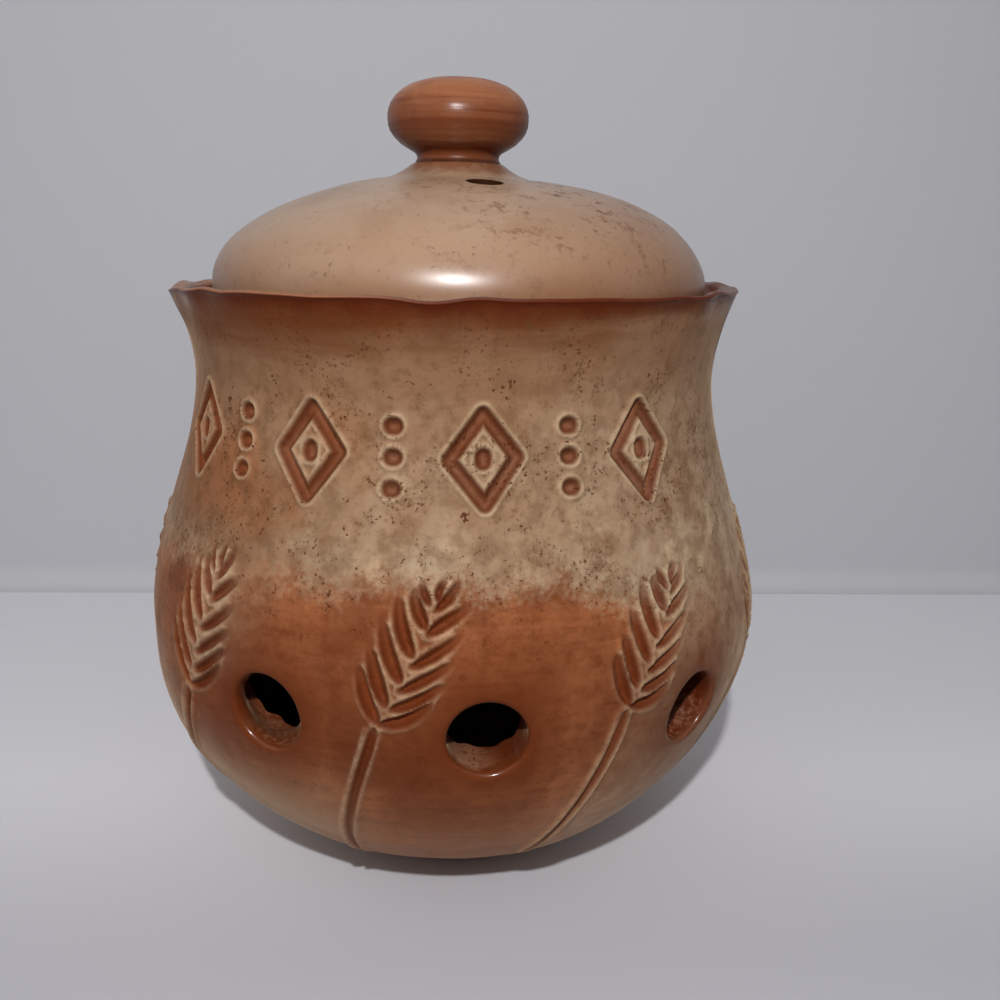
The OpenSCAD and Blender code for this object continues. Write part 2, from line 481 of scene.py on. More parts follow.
def sheet(surface, sides, counts, fine, size_at, hole=None, loop=None):
    """Triangles over a turned surface between two azimuths, small where size_at asks for it.

    counts are the steps along the lower and the upper edge. loop holds the map points of a hole's
    edge, and is left open. Gives the map points and the triangles.
    """
    ends = [math.radians(side) * MAP_R for side in sides]
    y1 = surface.along[-1]

    def map_size(flat):
        return size_at(flat) * MAP_R / surface.radius(flat)

    def closed(first, count):
        return [(first + k, first + (k + 1) % count) for k in range(count)]

    border = sheet_border(ends, y1, counts, map_size)
    inner, step = sheet_filling(ends, y1, counts, fine, map_size)
    parts, edges = [border], closed(0, len(border))
    if hole is not None:
        loop_reach = hole.reach(surface.points(loop)).max()
        spare = CLEAR * step * surface.radius(inner) / MAP_R
        inner = inner[hole.reach(surface.points(inner)) > loop_reach + spare]
        parts.append(loop)
        edges += closed(len(border), len(loop))
    flat = np.concatenate(parts + [inner])
    result = delaunay_2d_cdt([Vector(p) for p in flat], edges, [], 0, NO_OVERLAP, True)
    if any(len(source) != 1 for source in result[3]):
        raise RuntimeError("the sheet's points ran into each other")
    source = np.array([s[0] for s in result[3]])
    faces = source[np.array(result[2])]
    if hole is not None:
        middle = surface.points(flat)[faces].mean(1)
        faces = faces[hole.reach(middle) > loop_reach - HOLE_SLACK]
    return flat, faces


class Clay:
    """A mesh under construction: points in millimetres, faces and the masks that the glaze reads."""

    def __init__(self):
        self.points, self.faces, self.count = [], [], 0
        self.masks = {name: [] for name in MASKS}

    def add(self, points, faces, **masks):
        """Adds points and the faces between them."""
        points = np.asarray(points, float)
        self.points.append(points)
        self.faces.extend([[int(k) + self.count for k in face] for face in faces])
        for name in MASKS:
            self.masks[name].append(np.broadcast_to(masks.get(name, 0.0), len(points)).astype(float))
        self.count += len(points)

    def rings(self, rings, **masks):
        """Adds bands of faces between rings of as many points, given in order."""
        n = len(rings[0])
        faces = [(b * n + k, b * n + (k + 1) % n, (b + 1) * n + (k + 1) % n, (b + 1) * n + k)
                 for b in range(len(rings) - 1) for k in range(n)]
        wide = {name: np.repeat(value, n) for name, value in masks.items()}
        self.add(np.concatenate(rings), faces, **wide)

    def cap(self, ring, height, **masks):
        """Closes a ring with a fan to a point on the axis."""
        n = len(ring)
        faces = [(k, (k + 1) % n, n) for k in range(n)]
        self.add(np.concatenate([ring, [[0.0, 0.0, height]]]), faces, **masks)

    def object(self, name):
        """A Blender object of the mesh, in metres, with its masks."""
        mesh = bpy.data.meshes.new(name)
        mesh.from_pydata((np.concatenate(self.points) * MM).tolist(), [], self.faces)
        for mask, parts in self.masks.items():
            note(mesh, mask, np.concatenate(parts))
        return placed(name, mesh)


def note(mesh, name, values):
    """Stores a value on each point of a mesh, under a name that a glaze reads."""
    mesh.attributes.new(name, "FLOAT", "POINT").data.foreach_set("value", values)


def placed(name, data):
    """An object of a mesh, curve, lamp or camera, in the scene."""
    made = bpy.data.objects.new(name, data)
    bpy.context.scene.collection.objects.link(made)
    return made


def mesh_points(mesh):
    """A mesh's points in millimetres."""
    points = np.empty(len(mesh.vertices) * 3)
    mesh.vertices.foreach_get("co", points)
    return points.reshape(-1, 3) / MM


def move_points(mesh, points):
    """Moves a mesh's points to places in millimetres."""
    mesh.vertices.foreach_set("co", (points * MM).ravel())
    mesh.update()


# Relief

# One ear of grain: half width of each gouge and its line, in millimetres from the foot of the ear
EAR_GOUGES = (
    (1.65, ((-0.4, -0.4), (-2.3, 3.2), (-3.9, 7.9), (-5.0, 13.6))),
    (1.50, ((1.7, 4.2), (0.1, 8.0), (-1.3, 12.6), (-2.5, 18.2))),
    (1.45, ((5.2, 10.3), (3.1, 14.2), (1.6, 18.5), (0.5, 25.1))),
    (1.45, ((7.9, 16.4), (6.1, 20.2), (4.9, 24.2), (4.5, 31.5))),
    (1.35, ((11.1, 23.2), (9.5, 26.4), (8.4, 29.6), (8.4, 33.4))),
    (0.80, ((12.0, 29.1), (10.7, 31.2), (9.9, 35.1))),
    (1.35, ((0.6, -1.2), (5.0, -0.2), (9.5, 2.2), (13.4, 5.7))),
    (1.20, ((3.4, 3.1), (7.4, 4.4), (11.4, 6.7), (15.8, 10.2))),
    (1.10, ((5.4, 7.7), (8.6, 9.3), (13.0, 11.8), (17.9, 15.4))),
    (1.15, ((8.0, 13.8), (11.2, 15.4), (14.8, 17.7), (20.0, 21.9))),
    (1.30, ((11.7, 21.8), (14.5, 23.7), (17.8, 25.9), (21.9, 28.6))),
    (1.00, ((13.6, 27.7), (15.7, 29.8), (17.7, 32.3), (19.2, 35.2))),
    (0.75, ((13.8, 30.0), (14.4, 32.7), (16.0, 35.9))),
)
# How a gouge changes along its length: shares of the length, and the value at each
GOUGE_WIDTH = ((0.0, 0.1, 0.35, 0.7, 1.0), (0.45, 0.8, 1.0, 0.82, 0.4))
GOUGE_HOLLOW = ((0.0, 0.12, 0.5, 0.8, 1.0), (0.8, 1.0, 0.9, 0.45, 0.0))
GOUGE_RIM = ((0.0, 0.35, 0.7, 0.9), (1.0, 1.0, 0.4, 0.0))
# Added half width, strength of the rims of the two lowest gouges, and how far a gouge runs past its line
GOUGE_SPREAD = 0.4
LOW_RIM = 0.5
GOUGE_PAST = 1.1
GOUGE_POINTS = 16
# Azimuth and height of the foot of the ear, and the line of its stem from there in millimetres
EAR_FOOT = (-11.2, 75.9)
EAR_STEM = ((-1.4, -2.6), (-3.9, -9.3), (-6.6, -18.2), (-10.2, -29.9),
            (-16.7, -52.7), (-19.6, -70.0), (-20.6, -84.0))
STEM_POINTS = 30
STEM_WIDTH = ((0.0, 0.06, 0.8, 1.0), (0.9, 1.2, 1.1, 0.3))
STEM_FADE = ((0.0, 0.06, 0.85, 1.0), (0.5, 0.9, 0.8, 0.0))
STEM_HOLLOW = 0.8
# Sideways places of the stem's groove and of the ridges that make up its raised side
STEM_GROOVE = 0.5
STEM_RIDGES = (-1.5, -2.2)
STEM_RIDGE_WIDTH = -0.7
# Stamped band: height of its middle, azimuth of its first stamp, its span in degrees and its stamps
BAND_Z = 137.8
BAND_START = -58.0
BAND_SPAN = 94.0
BAND_STAMPS = 7
# Corners of a lozenge, the dimple in it and the columns of dimples between, in millimetres
LOZENGE = ((0.0, 11.0), (8.2, 0.4), (0.3, -11.0), (-8.2, -0.3), (0.0, 11.0))
LOZENGE_STEPS = 8
LOZENGE_DIMPLE = ((0.0, 0.7), (0.0, -0.7))
DIMPLE_HEIGHTS = (-7.6, 0.0, 7.6)
DIMPLE_HALF = 0.3
# Half widths of the band's lines and dimples, and the strength of their hollows and rims
LOZENGE_WIDTH = 1.8
LOZENGE_DIMPLE_WIDTH = 2.0
DIMPLE_WIDTH = 2.1
STAMP_HOLLOW = 0.9
STAMP_RIM = 0.8


def curve(points, count, past=1.0):
    """Points along the one smooth curve through a few set points, carried on past its end if asked."""
    points = np.asarray(points, float)
    run = np.concatenate([[0.0], np.cumsum(np.hypot(*np.diff(points, axis=0).T))])
    run /= run[-1]
    fits = [np.polyfit(run, points[:, k], min(3, len(points) - 1)) for k in (0, 1)]
    s = np.linspace(0.0, past, count)
    return np.stack([np.polyval(fit, s) for fit in fits], 1)


class Relief:
    """Gouges drawn on the map of a surface, with the clay pushed up beside them."""

    far = 1e3
    # How far from its line a gouge is looked for, on the map
    look = 22.0
    # Where the hollow and the darkened groove begin outside a gouge's edge, and over what width they deepen
    hollow_start, hollow_width = 0.4, 2.6
    groove_start, groove_width = 0.25, 0.9
    # Middle and width of the brown inside the edge, pooled glaze that is partly painted shade, and of the rim
    # outside it
    pool = (-0.5, 0.55)
    rim = (0.7, 0.65)
    # A gouge whose hollow is weaker than this counts as further off
    weak_hollow, weak_gap = 0.6, 2.5
    # Clay squeezed up between two gouges: how near they are, over what width, and its share at their edges
    squeeze_start, squeeze_width, squeeze_edge = 3.6, 1.6, 0.4
    least_gap = 0.3
    crest_cut = 2.2
    crest_mask = 1.7

    def __init__(self, surface, settings):
        self.surface = surface
        self.depth = settings.gouge_depth / MM
        self.ridge = settings.ridge_height / MM
        self.strokes = []

    def stroke(self, path, widths, hollows, rims):
        """A gouge along a path: half widths in millimetres, and the strength of its hollow and of its rim."""
        n = len(path)
        widths = np.broadcast_to(widths, n) * MAP_R / self.surface.radius(path)
        self.strokes.append((path, widths, np.broadcast_to(hollows, n), np.broadcast_to(rims, n)))

    def near(self, flat, stroke):
        """Distance to a gouge's edge in millimetres, negative in the gouge, and its two strengths there."""
        path, *along = stroke
        inside = np.all((flat > path.min(0) - self.look) & (flat < path.max(0) + self.look), axis=1)
        found = np.zeros((3, len(flat)))
        found[0] = self.far
        at, best = flat[inside], found[:, inside]
        for k in range(len(path) - 1):
            a, d = path[k], path[k + 1] - path[k]
            t = np.clip(((at - a) @ d) / max(d @ d, 1e-12), 0.0, 1.0)
            width, deep, high = (row[k] + (row[k + 1] - row[k]) * t for row in along)
            gap = np.hypot(*(at - a - t[:, None] * d).T) - width
            best = np.where(gap < best[0], np.stack([gap, deep, high]), best)
        found[:, inside] = best
        return found[0] * self.surface.radius(flat) / MAP_R, found[1], found[2]

    def gap(self, flat):
        """Distance to the nearest gouge's edge in millimetres, negative in the gouge."""
        return np.minimum.reduce([self.near(flat, stroke)[0] for stroke in self.strokes])

    def carve(self, flat):
        """Height at map points, and masks of the gouges, of the brown at their sides (pooled glaze, partly
        painted shade) and of their rims.
        """
        cut, groove, pool, crest = np.zeros((4, len(flat)))
        first, second = np.full((2, len(flat)), self.far)
        for stroke in self.strokes:
            gap, hollow, rim = self.near(flat, stroke)
            cut = np.maximum(cut, hollow * eased((self.hollow_start - gap) / self.hollow_width))
            groove = np.maximum(groove, hollow * eased((self.groove_start - gap) / self.groove_width))
            pool = np.maximum(pool, hollow * bell(gap, *self.pool))
            crest = np.maximum(crest, rim * bell(gap, *self.rim))
            gap = gap + self.weak_gap * (1.0 - eased(hollow / self.weak_hollow))
            first, second = np.minimum(first, gap), np.minimum(second, np.maximum(first, gap))
        middle = 1.0 - ((first - second) / np.maximum(first + second, self.least_gap)) ** 2
        squeezed = eased((self.squeeze_start - first - second) / self.squeeze_width)
        squeezed *= self.squeeze_edge + (1.0 - self.squeeze_edge) * np.clip(middle, 0.0, 1.0)
        crest = np.maximum(crest, squeezed) * (1.0 - eased(cut * self.crest_cut))
        masks = {"groove": groove, "pool": pool, "ridge": crest ** self.crest_mask}
        return self.ridge * crest - self.depth * cut, masks


def ear_relief(surface, settings):
    """One ear of grain on its stem."""
    relief = Relief(surface, settings)
    foot = surface.flat(*EAR_FOOT)
    for half_width, points in EAR_GOUGES:
        path = curve(points, GOUGE_POINTS, GOUGE_PAST)
        share = np.linspace(0.0, 1.0, len(path))
        widths = (half_width + GOUGE_SPREAD) * np.interp(share, *GOUGE_WIDTH)
        rims = np.interp(share, *GOUGE_RIM) * (LOW_RIM if points[0][1] < 0.0 else 1.0)
        relief.stroke(foot + path, widths, np.interp(share, *GOUGE_HOLLOW), rims)
    stem = foot + curve(EAR_STEM, STEM_POINTS)
    share = np.linspace(0.0, 1.0, len(stem))
    fade = np.interp(share, *STEM_FADE)
    relief.stroke(stem + (STEM_GROOVE, 0.0), np.interp(share, *STEM_WIDTH), fade * STEM_HOLLOW, fade)
    for aside in STEM_RIDGES:
        relief.stroke(stem + (aside, 0.0), STEM_RIDGE_WIDTH, 0.0, fade)
    return relief


def band_relief(surface, settings):
    """A stamped band round the front of the neck: lozenges with a dimple, and columns of dimples."""
    relief = Relief(surface, settings)
    for k in range(BAND_STAMPS):
        centre = surface.flat(BAND_START + BAND_SPAN * k / (BAND_STAMPS - 1), BAND_Z)
        scale = MAP_R / surface.radius(centre[None])[0]
        if k % 2 == 0:
            corners = np.array(LOZENGE) * scale
            sides = [np.linspace(a, b, LOZENGE_STEPS + 1)[:-1] for a, b in zip(corners[:-1], corners[1:])]
            stamps = [(np.concatenate(sides + [corners[-1:]]), LOZENGE_WIDTH),
                      (np.array(LOZENGE_DIMPLE) * scale, LOZENGE_DIMPLE_WIDTH)]
        else:
            stamps = [(np.array([(-DIMPLE_HALF, z), (DIMPLE_HALF, z)]) * scale, DIMPLE_WIDTH)
                      for z in DIMPLE_HEIGHTS]
        for path, half_width in stamps:
            relief.stroke(centre + path, half_width, STAMP_HOLLOW, STAMP_RIM)
    return relief


# Pot

# Azimuth at which the first sector starts, and the azimuth of its air hole
SECTOR_START = -26.2
VENT_TURN = 5.0
# Heights, in millimetres, at which the sectors, the neck and the inner wall of the sectors end
SHOULDER_Z = 118.0
NECK_TOP_Z = 160.0
INNER_LOW, INNER_HIGH = 40.0, 110.0
# Points along the lower and upper edge of a sector, outside and inside
OUTER_COUNTS = (16, 27)
INNER_COUNTS = (16, 32)
# Samples of the outlines of a sector's two walls and of the neck
OUTER_SAMPLES, INNER_SAMPLES, NECK_SAMPLES = 1500, 900, 700
# Sides of triangles in millimetres: smallest and largest outside, round an air hole, and inside
FINE, COARSE = 0.6, 4.6
VENT_FINE = 1.2
INNER_FINE, INNER_COARSE = 1.4, 7.0
# Distance past which triangles grow, and by how much per millimetre, at ears, air holes and band, and inside
EAR_GROWTH = (1.5, 0.27)
VENT_GROWTH = (2.0, 0.3)
BAND_GROWTH = (1.7, 0.28)
INNER_GROWTH = 0.35
# Air hole: rounding of its outer edge, points round it, and width of the ragged ring at its inner end
VENT_FILLET = 1.3
VENT_POINTS = 56
VENT_BACK = 2.1
VENT_ROUNDS = 6
VENT_STEPS = (0.2, 0.4, 0.6, 0.8, 1.0)
# Ragged clay at the inner end of an air hole, and the rings of crumbs round it
VENT_BURR = (2.3, ((-1.0, 1, 0), (0.7, 3, 1), (0.5, 7, 2), (0.35, 12, 0)))
VENT_CRUMBS = ((0.6, 0.98, 0.1), (1.4, 0.5, 0.0))
# Widths of the relief's fade at a sector's sides and at the hole, and of the glaze's halo
SIDE_FADE = 1.6
VENT_FADE = 1.5
VENT_HALO = 3.5
# Waves of the lip: number round the rim, share of the wave height, turn in degrees
LIP_WAVES = ((20, 0.40, 9), (9, 0.30, -46), (15, 0.31, -21), (27, 0.22, 28), (34, 0.12, 11))
# How far the sideways wave runs ahead of the upright one, in radians, and how late the waves set in
WAVE_LEAD = 0.11
WAVE_ONSET = 1.5
# Roundings of the lip outside and inside, and how much lower its inner edge is
LIP_ROUND = 1.1
LIP_INNER_ROUND = 1.6
LIP_INNER_DROP = 0.5
LIP_ROUNDS = 6
# Softened corners of the ledge, and of its lower edge
LEDGE_CORNER = (0.9, 0.3)
LEDGE_UNDER = (0.8, 0.4)
# Rows of points on the lip, on the neck inside and on the floor's bowl
LIP_ROWS, THROAT_ROWS, BOWL_ROWS = 13, 9, 9
SLOPE_SHARES = (0.25, 0.5, 0.75, 1.0)
THROAT_SHARES = (0.35, 0.7, 1.0)
# Bowl into floor: turn left out, radii taken off and heights added, and the floor's last ring
BOWL_SHORT = 0.03
FLOOR_EASE = ((3.0, 0.25), (7.0, 0.0))
FLOOR_R = 9.0
# Foot: radii taken off and heights on its rounded edge, the inner edge of its ring, and its last ring
FOOT_EDGE = ((0.1, 2.6), (0.6, 1.2), (1.5, 0.3), (2.4, 0.0))
FOOT_RING_EDGE = ((1.0, 0.0), (0.2, 0.25))
FOOT_RING_SLOPE = 1.2
FOOT_HOLLOW_R = 12.0


def sector_tile(form, settings):
    """One ninth of the wall: an ear on its stem, an air hole and the wall behind them."""
    clay = Clay()
    sides = (SECTOR_START, SECTOR_START + 360.0 / settings.vent_count)
    outer = TurnedMap.upright(form.outside, form.foot_h, SHOULDER_Z, OUTER_SAMPLES)
    inner = TurnedMap.upright(form.inside, INNER_LOW, INNER_HIGH, INNER_SAMPLES)
    relief = ear_relief(outer, settings)
    out, across = facing(VENT_TURN)
    centre = out * form.belly_r + np.array([0.0, 0.0, settings.vent_height / MM])
    vent = Hole(centre, -out, across, settings.vent_radius / MM, VENT_FILLET, VENT_POINTS)
    loop = vent.loop(outer, within(form.outside), vent.fillet)
    back_loop = vent.loop(inner, within(form.inside), VENT_BACK)

    def outer_size(flat):
        carved = graded(relief.gap(flat), *EAR_GROWTH, FINE, COARSE)
        return np.minimum(carved, graded(vent.past(outer, flat), *VENT_GROWTH, VENT_FINE, COARSE))

    def inner_size(flat):
        return graded(vent.past(inner, flat), VENT_BACK, INNER_GROWTH, INNER_FINE, INNER_COARSE)

    flat, faces = sheet(outer, sides, OUTER_COUNTS, FINE, outer_size, vent, loop)
    lift, marks = relief.carve(flat)
    x0, x1 = (math.radians(side) * MAP_R for side in sides)
    past = vent.past(outer, flat)
    held = eased(np.minimum(flat[:, 0] - x0, x1 - flat[:, 0]) / SIDE_FADE)
    held *= eased((past - vent.fillet) / VENT_FADE)
    marks = {name: mark * held for name, mark in marks.items()}
    halo = vent.halo(outer, flat, VENT_HALO)
    clay.add(outer.points(flat, lift * held), faces, vent=halo, **marks)

    vent.line(clay, outer.points(loop), inner.points(back_loop), within(form.inside),
              VENT_BURR, VENT_ROUNDS, VENT_STEPS, VENT_CRUMBS)
    flat, faces = sheet(inner, sides, INNER_COUNTS, INNER_FINE, inner_size, vent, back_loop)
    clay.add(inner.points(flat), faces, inside=1.0)
    return clay.object("pot_sector")


def lip_wave(turn):
    """Height of the finger waves at turns round the lip, about -1 to 1."""
    return sum(share * np.sin(n * turn + math.radians(shift)) for n, share, shift in LIP_WAVES)


def lip_rows(form):
    """Radius, height and share of the waves on the lip, ledge and throat, and how many rows show outside."""
    edge_z = form.top - LIP_ROUND
    outer_r = float(form.outside(form.top))
    inner_r = outer_r - form.lip_edge
    turns = np.linspace(0.0, QUARTER, LIP_ROUNDS)
    rows = [(float(form.outside(z)), z, ramp(z, NECK_TOP_Z, edge_z) ** WAVE_ONSET)
            for z in np.linspace(NECK_TOP_Z, edge_z, LIP_ROWS)]
    rows += [(outer_r - LIP_ROUND + LIP_ROUND * math.cos(t), edge_z + LIP_ROUND * math.sin(t), 1.0)
             for t in turns[1:]]
    inner_z = form.top - LIP_INNER_DROP - LIP_INNER_ROUND
    rows += [(inner_r + LIP_INNER_ROUND - LIP_INNER_ROUND * math.sin(t),
              inner_z + LIP_INNER_ROUND * math.cos(t), 1.0) for t in turns]
    shown = len(rows)

    seat, bore, ledge = form.seat_r, form.bore_r, form.ledge_z
    under = ledge - form.ledge_t
    first, *corner = softened(seat, ledge, UP, IN, *LEDGE_CORNER)
    slope = straight(rows[-1][:2], first, SLOPE_SHARES)
    rows += [(r, z, 1.0 - eased(t)) for (r, z), t in zip(slope, SLOPE_SHARES)]
    throat = corner + softened(bore, ledge, OUT, DOWN, *LEDGE_CORNER)
    throat += [(bore, under + LEDGE_UNDER[0]), (bore + LEDGE_UNDER[1], under)]
    throat += straight((bore, under), (form.inner_neck_r, form.neck_z), THROAT_SHARES)
    throat += [(float(form.inside(z)), z) for z in np.linspace(form.neck_z, INNER_HIGH, THROAT_ROWS)[1:]]
    return rows + [(r, z, 0.0) for r, z in throat], shown


def bowl_rows(form):
    """Radii and heights from the lower end of the sectors' inner wall to the middle of the floor."""
    low_turn, floor_turn = (math.asin((form.belly_z - z) / form.inner_depth) for z in (INNER_LOW, form.floor))
    rows = [(form.inner_belly_r * math.cos(t), form.belly_z - form.inner_depth * math.sin(t))
            for t in np.linspace(low_turn, floor_turn - BOWL_SHORT, BOWL_ROWS)]
    rows[0] = (float(form.inside(INNER_LOW)), INNER_LOW)
    edge_r = rows[-1][0]
    return rows + [(edge_r - less, form.floor + more) for less, more in FLOOR_EASE] + [(FLOOR_R, form.floor)]


def foot_rows(form):
    """Radii and heights from the lower end of the sectors' outer wall to the hollow under the foot."""
    rows = [(form.foot_r, form.foot_h)] + [(form.foot_r - less, z) for less, z in FOOT_EDGE]
    rows += [(form.foot_ring + more, z) for more, z in FOOT_RING_EDGE]
    return rows + [(form.foot_ring - FOOT_RING_SLOPE, form.foot_hollow), (FOOT_HOLLOW_R, form.foot_hollow)]


def pot_rest(form, settings):
    """What the sectors leave: the neck with its stamped band, the lip and ledge, the floor and the foot."""
    clay = Clay()
    count = settings.vent_count
    start = SECTOR_START - count // 2 * 360.0 / count
    neck = TurnedMap.upright(form.outside, SHOULDER_Z, NECK_TOP_Z, NECK_SAMPLES)
    relief = band_relief(neck, settings)
    counts = (OUTER_COUNTS[1] * count, INNER_COUNTS[1] * count)

    def neck_size(flat):
        return graded(relief.gap(flat), *BAND_GROWTH, FINE, COARSE)

    flat, faces = sheet(neck, (start, start + 360.0), counts, FINE, neck_size)
    lift, marks = relief.carve(flat)
    clay.add(neck.points(flat, lift), faces, **marks)

    turns = ring_turns(start, counts[1])
    wave, sway = (lip_wave(turns + lead) * settings.lip_wave / MM for lead in (0.0, WAVE_LEAD))
    rows, shown = lip_rows(form)
    depth = np.concatenate([np.zeros(shown), np.linspace(0.2, 1.0, len(rows) - shown)])
    clay.rings([turned(turns, r + sway * w, z + wave * w) for r, z, w in rows], inside=depth)

    turns = ring_turns(start, OUTER_COUNTS[0] * count)
    rings = [turned(turns, r, z) for r, z in bowl_rows(form)]
    clay.rings(rings, inside=np.ones(len(rings)))
    clay.cap(rings[-1], form.floor, inside=1.0)
    rings = [turned(turns, r, z) for r, z in foot_rows(form)]
    clay.rings(rings)
    clay.cap(rings[-1], form.foot_hollow)
    return clay.object("pot_rest")


# Uneven work of the hand on the pot

# Air holes off the even ring: azimuth, then the move in degrees and millimetres
HOLE_MOVES = ((-35.0, 4.3, 1.4), (5.0, 0.0, 0.0), (45.0, -1.0, -4.2), (-75.0, 0.0, 0.0))
# The set points round a hole: its height, and their reach in degrees and millimetres
HOLE_Z = 70.5
HOLE_REACH = (7.4, 12.0)
# Other places off the even ring: azimuth and height there, then the move in degrees and millimetres
EAR_MOVES = (
    (-35.0, 70.5, 4.3, 1.4), (-51.2, 75.9, 3.0, -3.1), (-48.0, 87.0, 1.6, -1.6), (-44.5, 99.0, 0.5, -0.6),
    (-40.5, 111.2, -0.7, 0.7), (-56.0, 55.0, 2.2, -1.5), (-61.0, 35.0, 0.0, 0.0), (28.8, 75.9, -0.8, 0.2),
    (32.0, 87.0, -0.4, -0.6), (36.0, 99.0, 0.4, -1.6), (39.5, 111.2, 1.5, -2.4), (24.0, 55.0, -0.6, 0.0),
    (18.0, 35.0, 0.0, 0.0), (-11.2, 75.9, 0.0, 0.0), (-8.0, 87.0, 0.0, 0.0), (-4.5, 99.0, 0.0, 0.0),
    (-0.5, 111.2, 0.0, 0.0), (-16.0, 55.0, 0.0, 0.0),
)
# Reach of a move in millimetres, azimuth past which nothing moves, and batches it is worked in
MOVE_REACH = 38.0
MOVE_SPAN = 110.0
MOVE_BATCHES = 40
# Share of the wall, from the inside, over which a move grows to its full size
MOVE_DEPTH = 0.6
# Swellings of the belly and low places of the lip: size in millimetres, azimuth and width in degrees
SWELLINGS = ((2.6, -78.0, 36.0), (-1.6, 72.0, 34.0))
LOW_LIP = ((2.0, -72.0, 14.0), (2.4, -108.0, 20.0))
# Heights over which a swelling sets in from below and from above, and heights and radii for a low lip
SWELL_FOOT, SWELL_TOP = (6.0, 28.0), (78.0, 38.0)
LOW_LIP_Z, LOW_LIP_R = (160.0, 174.0), (74.0, 77.0)
# Upper edge of the sprayed brown round the front: azimuth and height
SPRAY_EDGE = (
    (-75.0, 106.0), (-60.0, 106.0), (-48.0, 108.0), (-38.0, 108.5), (-29.0, 108.5), (-20.7, 106.5),
    (-13.5, 110.0), (-5.0, 110.0), (2.3, 107.0), (10.0, 109.0), (16.5, 108.5), (22.0, 105.0),
    (27.9, 101.0), (38.0, 97.0), (46.7, 97.0), (60.0, 101.0), (75.0, 106.0),
)
# The same edge round the back: height, swing, azimuth of a crest and spacing of the crests
SPRAY_BACK = (105.5, 3.5, -8.0, 40.0)
# Line past the ear right of the middle, where the spray thins: azimuth at the table and its lean
PAST_EAR = (6.3, 0.31)
# Azimuth of the left air hole, where the spray is thin and the clay bare
LEFT_HOLE = -40.0


def spread_moves(places, belly_r):
    """Moves of places, given as azimuth and height, smoothly spread from the set ones."""
    rounds = [(az + HOLE_REACH[0] * math.cos(k), HOLE_Z + HOLE_REACH[1] * math.sin(k), right, up)
              for az, right, up in HOLE_MOVES for k in np.arange(8) * math.pi / 4]
    table = np.array(rounds + list(EAR_MOVES))
    to_mm = (math.radians(belly_r), 1.0)

    def kernel(a, b):
        d = np.hypot(a[:, None, 0] - b[None, :, 0], a[:, None, 1] - b[None, :, 1]) / MOVE_REACH
        return np.clip(1.0 - d, 0.0, None) ** 4 * (4.0 * d + 1.0)

    knots = table[:, :2] * to_mm
    weights = np.linalg.solve(kernel(knots, knots), table[:, 2:])
    moves = np.zeros_like(places)
    near = np.flatnonzero(np.abs(places[:, 0]) < MOVE_SPAN)
    for part in np.array_split(near, MOVE_BATCHES):
        moves[part] = kernel(places[part] * to_mm, knots) @ weights
    return moves


def hand_shape(mesh, form):
    """Moves the hand-cut holes and ears off the even ring, and lets belly and lip wander. Gives az and z."""
    points = mesh_points(mesh)
    r = np.hypot(points[:, 0], points[:, 1])
    places = np.stack([azimuth(points), points[:, 2]], 1)
    az, z = places.T
    wall = form.outside(z) - form.inside(z)
    depth = np.clip((r - form.inside(z)) / (MOVE_DEPTH * wall), 0.0, 1.0)
    moves = spread_moves(places, form.belly_r) * depth[:, None]
    r = r + form.outside(z + moves[:, 1]) - form.outside(z)
    az, z = (places + moves).T
    swelling = sum(size * bell(az, *where) for size, *where in SWELLINGS)
    r = r + swelling * ramp(z, *SWELL_FOOT) * ramp(z, *SWELL_TOP)
    drop = sum(size * bell(az, *where) for size, *where in LOW_LIP)
    z = z - drop * ramp(z, *LOW_LIP_Z) * ramp(r, *LOW_LIP_R)
    move_points(mesh, turned(np.radians(az), r, z))
    return az, z


def note_glaze(mesh, az, z):
    """Notes on the pot's points how far they lie in the spray, how thin it is (thinner where light is painted
    low on the flanks and at the far left), and where clay is bare.
    """
    aside = np.abs(az)
    level, swing, crest, spacing = SPRAY_BACK
    edge = level + swing * np.cos(TURN * (az - crest) / spacing)
    edge += (np.interp(az, *np.array(SPRAY_EDGE).T) - edge) * ramp(aside, 75.0, 60.0)
    past_ear = az - PAST_EAR[0] - PAST_EAR[1] * z
    thin = 1.0 - (0.6 + 0.2 * ramp(az, 45.0, 65.0)) * ramp(past_ear, -5.0, 7.0) * ramp(az, 150.0, 100.0)
    # Thinner spray low on the flanks and at the far left of the belly; its paler colour partly paints light
    # bounced from the floor and a sheen at the side edge
    thin *= 1.0 - 0.75 * ramp(aside, 12.0, 42.0) * ramp(z, 52.0, 18.0)
    thin *= 1.0 - 0.5 * ramp(az, -48.0, -64.0) * ramp(z, 84.0, 62.0)
    thin *= 1.0 - 0.5 * bell(az, LEFT_HOLE, 7.0) * ramp(z, 74.0, 84.0)
    normals = np.empty(len(az) * 3)
    mesh.vertex_normals.foreach_get("vector", normals)
    note(mesh, "spray", edge - z)
    note(mesh, "wash", thin)
    note(mesh, "upward", np.clip(normals[2::3], 0.0, 1.0))
    bare = ramp(aside, 9.0, 2.0) + 0.4 * bell(az, LEFT_HOLE, 6.0) + 0.7 * ramp(aside, 90.0, 120.0)
    note(mesh, "bare", bare)


# Lid

LID_SEGMENTS = 240
CROWN_SEGMENTS, INNER_CROWN_SEGMENTS = 72, 36
# Azimuths between which the lid's sheets run once round, with their seam at the back
LID_SIDES = (-168.0, 192.0)
